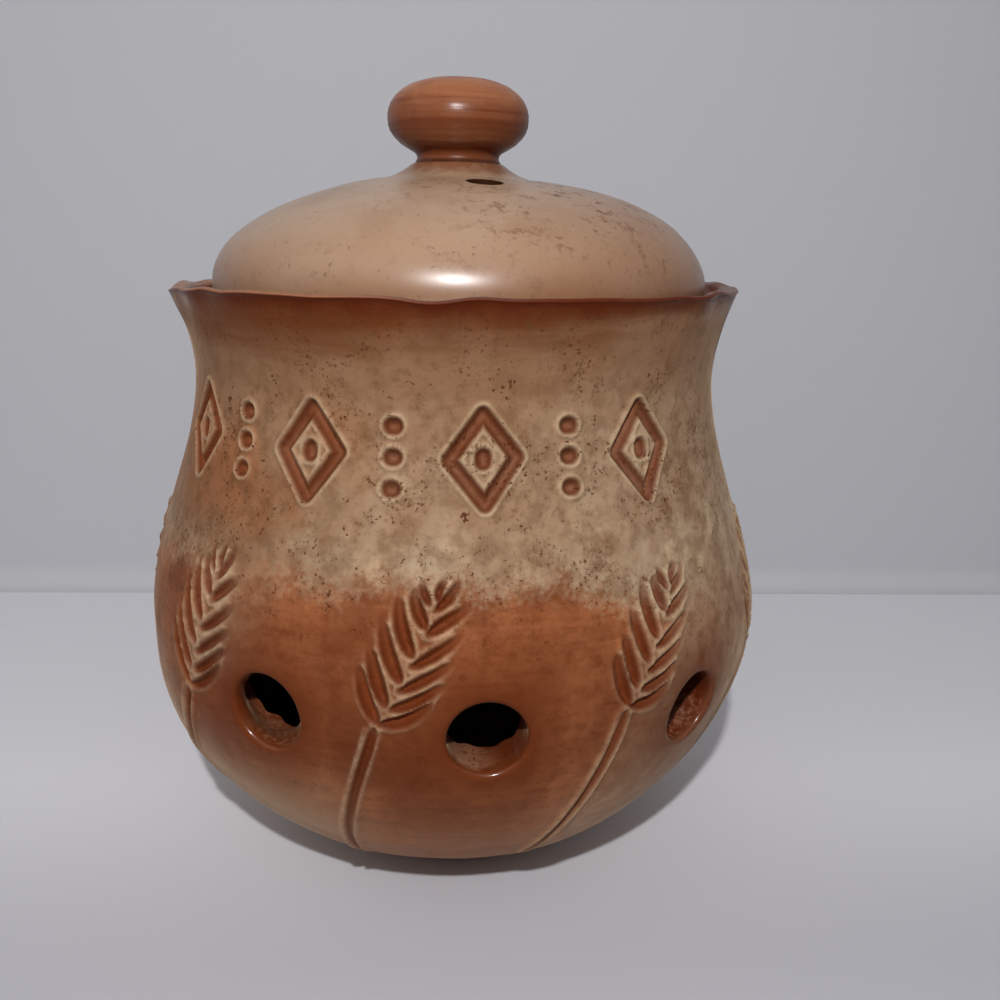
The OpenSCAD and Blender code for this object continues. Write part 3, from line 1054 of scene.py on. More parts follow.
# Steam hole: azimuth, rounding of its edge, points round it, and width of the ring at its inner end
STEAM_TURN = 12.0
STEAM_FILLET = 0.35
STEAM_POINTS = 40
STEAM_BACK = 2.0
STEAM_ROUNDS = 5
STEAM_STEPS = (0.33, 0.67, 1.0)
STEAM_BURR = (0.5, ((0.25, 3, 1), (0.2, 5, 0)))
STEAM_CRUMBS = ((0.7, 0.9, 0.0),)
STEAM_HALO = 1.6
# Sides of triangles on the lid: smallest at the hole and elsewhere, and largest, outside and inside
LID_FINE, LID_COARSE = 0.6, 2.4
LID_INNER_FINE, LID_INNER_COARSE = 0.8, 3.4
LID_LEAST = 0.9
# Growth of triangles past the steam hole, and their largest share of the radius, outside and inside
STEAM_GROWTH = (1.0, 0.3)
LID_SHARE, LID_INNER_SHARE = 0.07, 0.09
# Softened corners of the lid's edge and skirt, and of the corner between them
SKIRT_CORNER = (1.2, 0.35)
SEAT_CORNER = (0.9, 0.25)
# Heights of rows on the skirt: below the seat outside, and above the foot and the seat inside
SKIRT_ROW, BORE_ROW, BORE_TOP_ROW = 4.0, 7.0, 2.0
# Lean of the dome to the right and rise of that side, the distance at which it has risen so far, and the
# share of it by which the left side drops
LEAN, LEAN_RISE = 1.2, 1.3
LEAN_REACH = 60.0
LEAN_LEFT = 0.3
# Heights and radii over which the lean sets in, and radii over which the rise fades out at the edge
LEAN_Z, LEAN_R, LEAN_EDGE = (168.5, 174.5), (20.0, 50.0), (74.0, 60.0)


class LidForm:
    """Outlines of the lid in millimetres, from the sizes in the panel."""

    skirt_r = 66.63
    skirt_foot = 156.0
    edge_h = 7.5
    flare_start = 25.0
    land_r = 13.5
    land_rise = 2.8
    crown_r = 9.0
    inner_crown_r = 4.0
    steam_r = 32.5

    def __init__(self, sizes):
        self.r = sizes.radius / MM
        self.rise = sizes.rise / MM
        self.seat = sizes.seat / MM
        self.edge_z = self.seat + self.edge_h
        self.inner_r = self.skirt_r - sizes.wall / MM
        self.inner_rise = self.rise - sizes.wall / MM
        self.land_z = self.edge_z + self.rise + self.land_rise

    def top(self, r):
        """Height of the dome's outside at radius r."""
        return self.edge_z + self.rise * np.sqrt(np.clip(1.0 - (r / self.r) ** 2, 0.0, 1.0))

    def under(self, r):
        """Height of the dome's inside at radius r."""
        return self.edge_z + self.inner_rise * np.sqrt(np.clip(1.0 - (r / self.inner_r) ** 2, 0.0, 1.0))

    def dome(self, r, rise, end_r):
        """Radii and heights of a dome from its edge to a radius near the axis."""
        turns = np.linspace(0.0, math.acos(end_r / r), 300)
        return [(r * math.cos(t), self.edge_z + rise * math.sin(t)) for t in turns]

    def outline(self):
        """Outside, from the foot of the upright edge to the land under the knob."""
        edge = [(self.r, z) for z in np.linspace(self.seat + SKIRT_CORNER[0], self.edge_z, 12)]
        dome = self.dome(self.r, self.rise, self.flare_start)[1:]
        low = dome[-1][1]
        flare = [(self.flare_start + (self.land_r - self.flare_start) * t, low + (self.land_z - low) * t * t)
                 for t in np.linspace(0.0, 1.0, 80)[1:]]
        land = [(r, self.land_z) for r in np.linspace(self.land_r, self.crown_r, 20)[1:]]
        return np.array(edge + dome + flare + land)

    def inner_outline(self):
        """Inside of the dome, from the skirt to near the axis."""
        return np.array(self.dome(self.inner_r, self.inner_rise, self.inner_crown_r))

    def skirt(self):
        """Radii and heights from the lid's edge under its seat and round the skirt to the dome's inside."""
        seat, foot, bore = self.seat, self.skirt_foot, self.inner_r
        rows = softened(self.r, seat, UP, IN, *SKIRT_CORNER)
        rows += softened(self.skirt_r, seat, OUT, DOWN, *SEAT_CORNER) + [(self.skirt_r, seat - SKIRT_ROW)]
        rows += softened(self.skirt_r, foot, UP, IN, *SKIRT_CORNER)
        rows += softened(bore, foot, OUT, UP, *SKIRT_CORNER)
        return rows + [(bore, z) for z in (foot + BORE_ROW, seat + BORE_TOP_ROW, self.edge_z)]


def lid_shell(settings):
    """The lid's outside, skirt and inside, with the steam hole through it."""
    clay = Clay()
    form = LidForm(settings)
    outer, inner = TurnedMap(form.outline()), TurnedMap(form.inner_outline())
    out, across = facing(STEAM_TURN)
    down = np.array([0.0, 0.0, -1.0])
    centre = out * form.steam_r - down * float(form.top(form.steam_r))
    steam = Hole(centre, down, across, settings.steam_radius / MM, STEAM_FILLET, STEAM_POINTS)
    loop = steam.loop(outer, below(form.top), steam.fillet)
    back_loop = steam.loop(inner, below(form.under), STEAM_BACK)

    def outer_size(flat):
        near = graded(steam.past(outer, flat), *STEAM_GROWTH, LID_FINE, LID_COARSE)
        return np.minimum(near, np.clip(LID_SHARE * outer.radius(flat), LID_LEAST, LID_COARSE))

    def inner_size(flat):
        near = graded(steam.past(inner, flat), STEAM_BACK, INNER_GROWTH, LID_INNER_FINE, LID_INNER_COARSE)
        return np.minimum(near, np.clip(LID_INNER_SHARE * inner.radius(flat), LID_LEAST, LID_INNER_COARSE))

    counts = (LID_SEGMENTS, CROWN_SEGMENTS)
    flat, faces = sheet(outer, LID_SIDES, counts, LID_FINE, outer_size, steam, loop)
    clay.add(outer.points(flat), faces, vent=steam.halo(outer, flat, STEAM_HALO))
    clay.cap(turned(ring_turns(LID_SIDES[0], CROWN_SEGMENTS), form.crown_r, form.land_z), form.land_z)

    steam.line(clay, outer.points(loop), inner.points(back_loop), below(form.under),
               STEAM_BURR, STEAM_ROUNDS, STEAM_STEPS, STEAM_CRUMBS)
    counts = (LID_SEGMENTS, INNER_CROWN_SEGMENTS)
    flat, faces = sheet(inner, LID_SIDES, counts, LID_INNER_FINE, inner_size, steam, back_loop)
    clay.add(inner.points(flat), faces, inside=1.0)
    crown = turned(ring_turns(LID_SIDES[0], INNER_CROWN_SEGMENTS), *form.inner_outline()[-1])
    clay.cap(crown, form.edge_z + form.inner_rise, inside=1.0)

    rows = form.skirt()
    hidden = np.array([0.0, 0.1, 0.3] + [0.6] * 3 + [1.0] * (len(rows) - 6))
    turns = ring_turns(LID_SIDES[0], LID_SEGMENTS)
    clay.rings([turned(turns, r, z) for r, z in rows], inside=hidden)
    return clay.object("lid_shell")


def lean_lid(mesh):
    """Leans the dome a little towards +X, as it left the wheel."""
    points = mesh_points(mesh)
    r = np.hypot(points[:, 0], points[:, 1])
    share = ramp(points[:, 2], *LEAN_Z) * ramp(r, *LEAN_R)
    tilt = np.maximum(points[:, 0], LEAN_LEFT * points[:, 0]) / LEAN_REACH
    points[:, 2] += LEAN_RISE * share * ramp(r, *LEAN_EDGE) * tilt
    points[:, 0] += LEAN * share
    move_points(mesh, points)


# Node trees


def titled(values):
    """Values by the names that their sockets show."""
    return {name.replace("_", " ").capitalize(): value for name, value in values.items()}


class Nodes:
    """A node tree under construction, with short names for the steps that repeat."""

    def __init__(self, tree):
        self.tree = tree

    def add(self, kind, inputs=None, **options):
        """Adds a node, sets its options and sets or links its inputs."""
        made = self.tree.nodes.new(kind)
        for key, value in options.items():
            setattr(made, key, value)
        for key, value in (inputs or {}).items():
            self.feed(value, made.inputs[key])
        return made

    def feed(self, value, socket):
        """Links another node's output to a socket, or sets a plain value on it."""
        if isinstance(value, bpy.types.NodeSocket):
            self.tree.links.new(value, socket)
        else:
            socket.default_value = value

    def calc(self, operation, *values):
        """One arithmetic step."""
        return self.add("ShaderNodeMath", dict(enumerate(values)), operation=operation).outputs[0]

    def times(self, *values):
        """Product of masks and numbers."""
        return reduce(partial(self.calc, "MULTIPLY"), values)

    def plus(self, *values):
        """Sum of masks and numbers."""
        return reduce(partial(self.calc, "ADD"), values)

    def most(self, *values):
        """The strongest of some masks."""
        return reduce(partial(self.calc, "MAXIMUM"), values)

    def minus(self, first, second):
        """Difference of two values."""
        return self.calc("SUBTRACT", first, second)

    def over(self, first, second):
        """Quotient of two values."""
        return self.calc("DIVIDE", first, second)

    def without(self, mask):
        """What a mask leaves."""
        return self.minus(1.0, mask)

    def weighed(self, *pairs):
        """Sum of masks, each with its weight."""
        return self.plus(*[self.times(mask, weight) for mask, weight in pairs])

    def rise(self, value, low, high, to_low=0.0, to_high=1.0):
        """A value carried smoothly from one range to another."""
        inputs = {"Value": value, "From Min": low, "From Max": high, "To Min": to_low, "To Max": to_high}
        return self.add("ShaderNodeMapRange", inputs, interpolation_type="SMOOTHSTEP").outputs["Result"]

    def between(self, value, begin, full, until, end):
        """Mask of a stretch that begins, is full, stays so until a value, and ends."""
        return self.times(self.rise(value, begin, full), self.rise(value, end, until))

    def axes(self, place):
        """The three coordinates of a place."""
        return self.add("ShaderNodeSeparateXYZ", {0: place}).outputs

    def joined(self, x, y, z):
        """The place of three coordinates."""
        return self.add("ShaderNodeCombineXYZ", {"X": x, "Y": y, "Z": z}).outputs[0]

    def vector(self, operation, first, second):
        """One step between two vectors."""
        return self.add("ShaderNodeVectorMath", {0: first, 1: second}, operation=operation).outputs[0]

    def scaled(self, vector, factor):
        """A vector made longer or shorter."""
        inputs = {0: vector, "Scale": factor}
        return self.add("ShaderNodeVectorMath", inputs, operation="SCALE").outputs[0]

    def from_axis(self, place):
        """Distance of a place from the upright axis."""
        level = self.vector("MULTIPLY", place, (1.0, 1.0, 0.0))
        return self.add("ShaderNodeVectorMath", {0: level}, operation="LENGTH").outputs["Value"]

    def noise(self, place, scale, detail, roughness=0.5, output=0):
        """Cloudy noise."""
        inputs = {"Vector": place, "Scale": scale, "Detail": detail, "Roughness": roughness}
        return self.add("ShaderNodeTexNoise", inputs).outputs[output]

    def seeded_noise(self, place, seed, scale, detail, roughness=0.5):
        """Cloudy noise, of another pattern for each seed."""
        inputs = {"Vector": place, "W": seed, "Scale": scale, "Detail": detail, "Roughness": roughness}
        return self.add("ShaderNodeTexNoise", inputs, noise_dimensions="4D").outputs[0]


class Group(Nodes):
    """A node group with named inputs, each given by its default or by its kind, and one output."""

    def __init__(self, name, family, output, inputs):
        super().__init__(bpy.data.node_groups.new(name, family))
        new_socket = self.tree.interface.new_socket
        for label, default in inputs.items():
            kind = default if isinstance(default, str) else type(default).__name__.capitalize()
            socket = new_socket(name=label, in_out="INPUT", socket_type="NodeSocket" + kind)
            if kind != default:
                socket.default_value = default
        new_socket(name=output[0], in_out="OUTPUT", socket_type="NodeSocket" + output[1])
        self.inputs = self.tree.nodes.new("NodeGroupInput").outputs
        self.output = self.tree.nodes.new("NodeGroupOutput").inputs[0]

    def __getitem__(self, name):
        return self.inputs[name]

    def finish(self, value):
        """Links what the group puts out, and gives its tree."""
        self.feed(value, self.output)
        return self.tree


class ShapeGroup(Group):
    """A geometry tree."""

    def __init__(self, name, **inputs):
        super().__init__(name, "GeometryNodeTree", ("Geometry", "Geometry"), titled(inputs))

    def shape(self, kind, geometry, **inputs):
        """One step that changes a shape."""
        return self.add("GeometryNode" + kind, {"Geometry": geometry} | titled(inputs)).outputs[0]

    def worked(self, hand_worked, geometry, **values):
        """A shape worked by hand, by this tree's own unevenness and seed."""
        inputs = {"Geometry": geometry, "Unevenness": self["Unevenness"], "Seed": self["Seed"]}
        return self.add("GeometryNodeGroup", inputs | titled(values), node_tree=hand_worked).outputs[0]

    def glazed(self, geometry):
        """Ends the tree with real geometry in its glaze."""
        real = self.shape("RealizeInstances", geometry)
        return self.finish(self.shape("SetMaterial", real, material=self["Glaze"]))


def hand_worked_tree():
    """Geometry tree that lets a thrown wall wander a little from its true round."""
    group = ShapeGroup("Hand-worked clay", geometry="Geometry", unevenness=0.0003, patch_size=0.04, seed=1,
                       held_height=0.152, free_height=0.12, held_radius=0.044, free_radius=0.06)
    place = group.add("GeometryNodeInputPosition").outputs[0]
    scale = group.over(1.0, group["Patch size"])
    noise = group.seeded_noise(place, group["Seed"], scale, 2.0, 0.35)
    swing = group.times(
        group.minus(noise, 0.5), group.times(group["Unevenness"], 4.0),
        group.rise(group.axes(place)["Z"], group["Held height"], group["Free height"]),
        group.rise(group.from_axis(place), group["Held radius"], group["Free radius"]))
    offset = group.scaled(group.add("GeometryNodeInputNormal").outputs[0], swing)
    return group.finish(group.shape("SetPosition", group["Geometry"], offset=offset))


def sector_ring_tree(hand_worked):
    """Geometry tree that sets sectors round the axis and joins them with the rest of the pot."""
    group = ShapeGroup("Ring of ears and air holes", geometry="Geometry", sectors=9, rest_of_the_pot="Object",
                       unevenness=0.0003, seed=1, weld=WELD, glaze="Material")
    points = group.add("GeometryNodePoints", {"Count": group["Sectors"]}).outputs[0]
    index = group.add("GeometryNodeInputIndex").outputs[0]
    turn = group.joined(0.0, 0.0, group.times(index, group.over(TURN, group["Sectors"])))
    ring = group.add("GeometryNodeInstanceOnPoints", {
        "Points": points, "Instance": group["Geometry"], "Rotation": turn}).outputs[0]
    rest = group.add("GeometryNodeObjectInfo", {"Object": group["Rest of the pot"]})
    both = group.add("GeometryNodeJoinGeometry", {"Geometry": group.shape("RealizeInstances", ring)})
    group.feed(rest.outputs["Geometry"], both.inputs[0])
    welded = group.shape("MergeByDistance", both.outputs[0], distance=group["Weld"])
    return group.glazed(group.worked(hand_worked, welded))


def lid_tree(hand_worked):
    """Geometry tree that welds the lid's sheets and works them by hand."""
    group = ShapeGroup("Domed lid", geometry="Geometry", unevenness=0.0002, seed=1, weld=WELD,
                       glaze="Material")
    welded = group.shape("MergeByDistance", group["Geometry"], distance=group["Weld"])
    return group.glazed(group.worked(
        hand_worked, welded, held_height=0.172, free_height=0.184, held_radius=0.016, free_radius=0.03))


def thrown_form_tree():
    """Geometry tree that turns an outline round the axis and leaves throwing rings in it."""
    group = ShapeGroup("Thrown form", outline="Object", segments=96, rows=48, ring_depth=0.0001,
                       ring_pitch=0.0016, wobble=0.0002, seed=1, weld=WELD, glaze="Material")
    grid = group.add("GeometryNodeMeshGrid", {
        "Size X": 1.0, "Size Y": 1.0, "Vertices X": group.plus(group["Segments"], 1.0),
        "Vertices Y": group["Rows"]}).outputs["Mesh"]
    spot = group.axes(group.add("GeometryNodeInputPosition").outputs[0])
    turn = group.times(group.plus(spot["X"], 0.5), TURN)
    outline = group.add("GeometryNodeObjectInfo", {"Object": group["Outline"]}).outputs["Geometry"]
    inputs = {"Curves": outline, "Factor": group.plus(spot["Y"], 0.5)}
    sample = group.add("GeometryNodeSampleCurve", inputs, mode="FACTOR").outputs["Position"]
    point = group.axes(sample)
    sine, cosine = group.calc("SINE", turn), group.calc("COSINE", turn)
    around = group.joined(sine, cosine, group.times(point["Z"], 60.0))
    noise = group.seeded_noise(around, group["Seed"], 1.4, 1.0)
    sway = group.times(group.minus(noise, 0.5), group["Wobble"])
    phase = group.over(group.times(point["Z"], TURN), group["Ring pitch"])
    ring = group.calc("SINE", group.plus(phase, group.times(noise, 9.0)))
    uneven = group.plus(sway, group.times(ring, group["Ring depth"]))
    out = group.plus(point["X"], group.times(group.rise(point["X"], 0.0, 0.012), uneven))
    place = group.joined(group.times(out, sine), group.times(out, cosine), point["Z"])
    moved = group.shape("SetPosition", grid, position=place)
    return group.glazed(group.shape("MergeByDistance", moved, distance=group["Weld"]))


def grow(holder, tree, **values):
    """Puts a geometry tree on a holder and sets its named inputs."""
    modifier = holder.modifiers.new(tree.name, "NODES")
    modifier.node_group = tree
    sockets = {item.name: item.identifier for item in tree.interface.items_tree if item.in_out == "INPUT"}
    for name, value in titled(values).items():
        modifier[sockets[name]] = value


def settle(holder, name, *helpers):
    """Turns what a holder's tree makes into one plain closed mesh, and clears the holder away."""
    depsgraph = bpy.context.evaluated_depsgraph_get()
    mesh = bpy.data.meshes.new_from_object(
        holder.evaluated_get(depsgraph), preserve_all_data_layers=True, depsgraph=depsgraph)
    for spare in (holder, *helpers):
        bpy.data.objects.remove(spare)
    mesh.name = name
    work = bmesh.new()
    work.from_mesh(mesh)
    bmesh.ops.recalc_face_normals(work, faces=work.faces)
    open_edges = sum(1 for e in work.edges if len(e.link_faces) != 2)
    if open_edges:
        raise RuntimeError(f"{name} has {open_edges} open edges")
    if work.calc_volume(signed=True) < 0:
        bmesh.ops.reverse_faces(work, faces=work.faces)
    triangles = sum(len(f.verts) - 2 for f in work.faces)
    work.to_mesh(mesh)
    work.free()
    if triangles >= MOST_TRIANGLES:
        raise RuntimeError(f"{name} has {triangles} triangles")
    print(f"{name}: {triangles} triangles")
    mesh.shade_smooth()
    mesh.set_sharp_from_angle(angle=math.radians(SHARP_ANGLE))
    return placed(name, mesh)


# Effects that the glazes share


class EffectGroup(Group):
    """A shader group that reads a place and puts out a mask."""

    # Step, in metres, by which each seed moves the place where a pattern is read
    seed_step = (0.31, 0.17, 0.23)

    def __init__(self, name, **inputs):
        inputs = {"Vector": "Vector", "Seed": 0.0} | titled(inputs)
        super().__init__(name, "ShaderNodeTree", ("Mask", "Float"), inputs)
        self.place = self.vector("ADD", self["Vector"], self.scaled(self.seed_step, self["Seed"]))


def clouds_group():
    """Shader group: soft cloudy patches."""
    group = EffectGroup("Clouds", patch_size=0.03, low=0.4, high=0.65, detail=5.0)
    noise = group.noise(group.place, group.over(1.0, group["Patch size"]), group["Detail"], 0.6)
    return group.finish(group.rise(noise, group["Low"], group["High"]))


def specks_group():
    """Shader group: ragged iron specks of many sizes, in some of the cells of a scatter."""
    group = EffectGroup("Iron specks", spacing=0.004, share=0.4, size=0.3)
    scale = group.over(1.0, group["Spacing"])
    noise = group.noise(group.place, group.times(scale, 2.2), 2.0, output="Color")
    sway = group.vector("SUBTRACT", noise, (0.5, 0.5, 0.5))
    place = group.vector("ADD", group.place, group.scaled(sway, group.times(group["Spacing"], 1.9)))
    cells = group.add("ShaderNodeTexVoronoi", {"Vector": place, "Scale": scale}).outputs
    pick = group.add("ShaderNodeSeparateColor", {0: cells["Color"]}).outputs[0]
    grade = group.over(group.minus(pick, group.without(group["Share"])), group["Share"])
    size = group.most(group.times(grade, group["Size"]), 0.001)
    return group.finish(group.rise(cells["Distance"], size, group.times(size, 0.45)))


def hairlines_group():
    """Shader group: thin broken lines, as dirt lies in crazed and scratched glaze."""
    group = EffectGroup("Hairlines", patch_size=0.008, width=0.03)
    scale = group.over(1.0, group["Patch size"])
    noise = group.noise(group.place, scale, 4.0, 0.62)
    line = group.rise(group.calc("ABSOLUTE", group.minus(noise, 0.5)), group["Width"], 0.0)
    breaks = group.noise(group.place, group.times(scale, 2.3), 2.0)
    return group.finish(group.times(line, group.rise(breaks, 0.42, 0.58)))


def rings_group():
    """Shader group: streaks round the axis, as a glaze breaks over throwing rings."""
    group = EffectGroup("Throwing streaks", pitch=0.004, length=0.05, low=0.35, high=0.65)
    along, up = group.over(1.0, group["Length"]), group.over(1.0, group["Pitch"])
    stretched = group.vector("MULTIPLY", group.place, group.joined(along, along, up))
    noise = group.noise(stretched, 1.0, 3.0, 0.55)
    return group.finish(group.rise(noise, group["Low"], group["High"]))


# Glazes


class Glaze(Nodes):
    """One glaze's material, with a colour that is laid on coat by coat."""

    # Shader groups that all glazes share, built with the first of them
    effects = {}

    def __init__(self, name, gloss, base):
        if not self.effects:
            self.effects.update(clouds=clouds_group(), specks=specks_group(),
                                hairlines=hairlines_group(), rings=rings_group())
        self.material = bpy.data.materials.new(name)
        self.material.use_nodes = True
        super().__init__(self.material.node_tree)
        self.shader = self.tree.nodes["Principled BSDF"].inputs
        self.shader["Specular IOR Level"].default_value = gloss
        self.place = self.add("ShaderNodeTexCoord").outputs["Object"]
        self.x, _, self.z = self.axes(self.place)
        self.colour = base

    def mark(self, name):
        """A value stored on the piece's mesh."""
        made = self.add("ShaderNodeAttribute", attribute_name=name, attribute_type="GEOMETRY")
        return made.outputs["Fac"]

    def effect(self, kind, **values):
        """One of the shared effects with its own values."""
        inputs = {"Vector": self.place} | titled(values)
        return self.add("ShaderNodeGroup", inputs, node_tree=self.effects[kind]).outputs["Mask"]

    def clouds(self, patch_size, seed, low, high, **values):
        """Soft cloudy patches."""
        return self.effect("clouds", patch_size=patch_size, seed=seed, low=low, high=high, **values)

    def specks(self, spacing, share, size, seed):
        """Iron specks."""
        return self.effect("specks", spacing=spacing, share=share, size=size, seed=seed)

    def blend(self, first, second, *masks):
        """A colour between two, by the product of masks and numbers."""
        made = self.add("ShaderNodeMix", {0: self.times(*masks)}, data_type="RGBA")
        for value, socket in ((first, made.inputs[6]), (second, made.inputs[7])):
            self.feed(value if isinstance(value, bpy.types.NodeSocket) else (*value, 1.0), socket)
        return made.outputs[2]

    def lay(self, second, *masks):
        """Lays a colour over what is there, by the product of masks and numbers."""
        self.colour = self.blend(self.colour, second, *masks)

    def coat(self, weight, roughness, bend):
        """Lays a clear gloss where a mask says."""
        self.feed(weight, self.shader["Coat Weight"])
        self.shader["Coat Roughness"].default_value = roughness
        self.shader["Coat IOR"].default_value = bend

    def finish(self, roughness, height, bump):
        """Links the finished colour, roughness and height to the shader."""
        self.feed(self.colour, self.shader["Base Color"])
        self.feed(roughness, self.shader["Roughness"])
        lifted = self.add("ShaderNodeBump", {"Height": height, "Strength": 1.0, "Distance": bump})
        self.feed(lifted.outputs["Normal"], self.shader["Normal"])
        return self.material


def pot_patterns(glaze):
    """Marks and patterns that several coats of the pot's glaze read."""
    marks = {name: glaze.mark(name) for name in (*MASKS, "spray", "wash", "upward", "bare")}
    tunnel = glaze.times(
        glaze.between(marks["inside"], 0.08, 0.24, 0.6, 0.95), glaze.rise(marks["vent"], 0.9, 1.0))
    return SimpleNamespace(
        **marks,
        wide=glaze.clouds(0.034, 2.0, 0.38, 0.66),
        small=glaze.clouds(0.009, 7.0, 0.36, 0.68),
        mottle=glaze.clouds(0.0035, 9.0, 0.3, 0.7, detail=3.0),
        patch=glaze.clouds(0.017, 21.0, 0.45, 0.6),
        stained=glaze.clouds(0.0055, 25.0, 0.42, 0.64, detail=8.0),
        streak=glaze.effect("rings", pitch=0.005, length=0.06, seed=3.0),
        brushed=glaze.effect("rings", pitch=0.0016, length=0.03, seed=17.0),
        flank=glaze.calc("ABSOLUTE", glaze.x),
        tunnel=tunnel,
        # Upward-facing walls of the air holes, which the glaze paints lit, while the others are painted
        # shaded
        tunnel_floor=glaze.rise(marks["upward"], 0.25, 0.75))


def pot_shoulder(glaze, tints, on):
    """Cream of the shoulder with its clouds, the browns of the neck and lip, ground-in dirt, a painted sheen
    on the right edge and painted light on the lip's crest.
    """
    x, z, rise, between = glaze.x, glaze.z, glaze.rise, glaze.between
    glaze.lay(tints.tan, on.wide, 0.6)
    glaze.lay(tints.tan, on.small, on.mottle, 0.55)
    blanched = glaze.clouds(0.013, 23.0, 0.52, 0.64)
    glaze.lay(tints.edge, blanched, rise(z, 0.13, 0.118), 0.5)
    tanned_left = glaze.times(rise(x, -0.015, -0.07), rise(z, 0.1, 0.115))
    glaze.lay(tints.tan, tanned_left, 0.65)
    # Painted sheen: the right edge of the shoulder is paled
    sheen_right = glaze.times(rise(x, 0.074, 0.092), rise(z, 0.125, 0.11))
    glaze.lay(tints.edge, sheen_right, 0.6)
    dulled_front = glaze.times(between(x, -0.012, 0.006, 0.018, 0.036), rise(z, 0.142, 0.126))
    glaze.lay(tints.tan, dulled_front, 0.36)

    high = glaze.plus(
        z, glaze.weighed((on.streak, 0.004), (on.wide, 0.004)),
        rise(x, 0.0, -0.05, 0.0, 0.006), rise(x, 0.02, 0.06, 0.0, -0.007))
    glaze.lay(tints.tan, rise(high, 0.112, 0.132), 0.4)
    glaze.lay(tints.tan, rise(high, 0.140, 0.164), 0.8)
    glaze.lay(tints.neck, rise(high, 0.163, 0.1795), 0.95)
    washed_left = glaze.times(rise(x, 0.0, -0.045), between(z, 0.110, 0.120, 0.14, 0.152))
    glaze.lay(tints.spray, washed_left, on.wide, 0.6)
    dusky_left = glaze.times(rise(x, -0.015, -0.035), between(z, 0.104, 0.112, 0.126, 0.138))
    glaze.lay(tints.smudge, dusky_left, 0.2)

    glaze.lay(tints.smudge, on.stained, rise(z, 0.165, 0.145, 0.2, 0.45))
    smudged = glaze.times(
        glaze.clouds(0.0028, 27.0, 0.5, 0.72, detail=6.0), glaze.clouds(0.02, 28.0, 0.38, 0.6), 0.6)
    scratched = glaze.times(glaze.effect("hairlines", patch_size=0.012, width=0.03, seed=29.0), on.patch, 0.5)
    glaze.lay(tints.smudge, glaze.most(smudged, scratched))
    lip = rise(glaze.plus(z, glaze.weighed((on.streak, 0.0015), (on.small, 0.0015))), 0.1715, 0.1775)
    glaze.lay(tints.rim, lip)
    # Painted light: the upward-facing top of the lip, at the left, is paled as if lit
    lit_crest = glaze.times(rise(z, 0.1715, 0.1735), rise(on.upward, 0.15, 0.5), rise(x, 0.0, -0.035))
    glaze.lay(tints.bare, lit_crest, 0.45)


def pot_spray(glaze, tints, on):
    """Orange-brown sprayed over the ears, thinner and paler towards the table, with painted light bounced
    from the floor on the low flanks. Gives the spray's mask.
    """
    x, z, rise, between = glaze.x, glaze.z, glaze.rise, glaze.between
    ragged = glaze.clouds(0.016, 11.0, 0.25, 0.75, detail=3.0)
    crumb = glaze.clouds(0.0016, 12.0, 0.25, 0.75, detail=2.0)
    reach = glaze.plus(on.spray, glaze.weighed((ragged, 5.0), (crumb, 5.0)))
    reach = glaze.times(reach, rise(x, 0.002, -0.016, 1.0, 0.75))
    spray = glaze.times(rise(reach, -1.0, 10.0), on.wash)
    thick = glaze.times(glaze.clouds(0.026, 5.0, 0.34, 0.66), rise(z, 0.02, 0.06, 0.35, 1.0))
    sprayed = glaze.blend(tints.spray, tints.spray_dark, thick, 0.75)
    sprayed = glaze.blend(sprayed, tints.spray_dark, on.brushed, on.mottle, 0.6)
    sprayed = glaze.blend(sprayed, tints.spray_dark, crumb, on.stained, 0.5)
    glaze.lay(sprayed, spray, 0.95)
    deep = glaze.times(between(z, 0.050, 0.066, 0.078, 0.094), between(x, -0.075, -0.045, 0.015, 0.035))
    glaze.lay(tints.spray_dark, deep, 0.4)
    glaze.lay(tints.bare, rise(z, 0.060, 0.020), 0.48)
    # Painted light: the low flanks are paled as if lit by light bounced from the floor
    bounce_lit_flanks = glaze.times(rise(z, 0.068, 0.028), rise(on.flank, 0.012, 0.055))
    glaze.lay(tints.edge, bounce_lit_flanks, rise(x, 0.0, 0.03, 0.6, 0.3))
    halo = glaze.times(glaze.calc("POWER", on.vent, 0.24), rise(on.spray, 4.0, 16.0))
    glaze.lay(tints.spray_dark, halo, 0.85)
    return spray


def pot_recesses(glaze, tints, on, spray):
    """Painted shade on the air holes' walls and painted light with bare clay on their upward floors, brown
    pooled in the gouges (partly painted shade) and pale edges beside them.
    """
    rise = glaze.rise
    # Painted shade: walls of the air holes that don't face up are darkened
    glaze.lay(tints.recess, on.tunnel, glaze.without(on.tunnel_floor), 0.75)
    # Pale bare clay on the upward floors of the air holes, partly painted light on the lit floor
    bare = glaze.times(on.tunnel, on.tunnel_floor, glaze.clouds(0.008, 41.0, 0.38, 0.56), on.bare)
    glaze.lay(tints.bare, bare, 0.7)
    # Painted shade: the right air hole's walls darkened to the lip's brown
    glaze.lay(tints.rim, on.tunnel, rise(glaze.x, 0.035, 0.055), 0.85)
    grit = glaze.times(on.tunnel, rise(on.flank, 0.03, 0.045), rise(glaze.z, 0.068, 0.061))
    glaze.lay(tints.bare, grit, glaze.clouds(0.0016, 43.0, 0.42, 0.66), 0.42)
    settled_and_shaded = rise(on.wash, 0.3, 0.9, 0.6, 0.75)
    # Brown pooled in the gouges and darker along their edges: pooled glaze, partly painted shade
    glaze.lay(tints.recess, on.groove, settled_and_shaded)
    glaze.lay(tints.rim, on.pool, settled_and_shaded)
    pale = glaze.times(on.ridge, glaze.without(on.groove), rise(spray, 0.2, 1.0, 0.75, 0.5))
    glaze.lay(tints.edge, pale, rise(on.mottle, 0.0, 1.0, 1.0, 0.5))


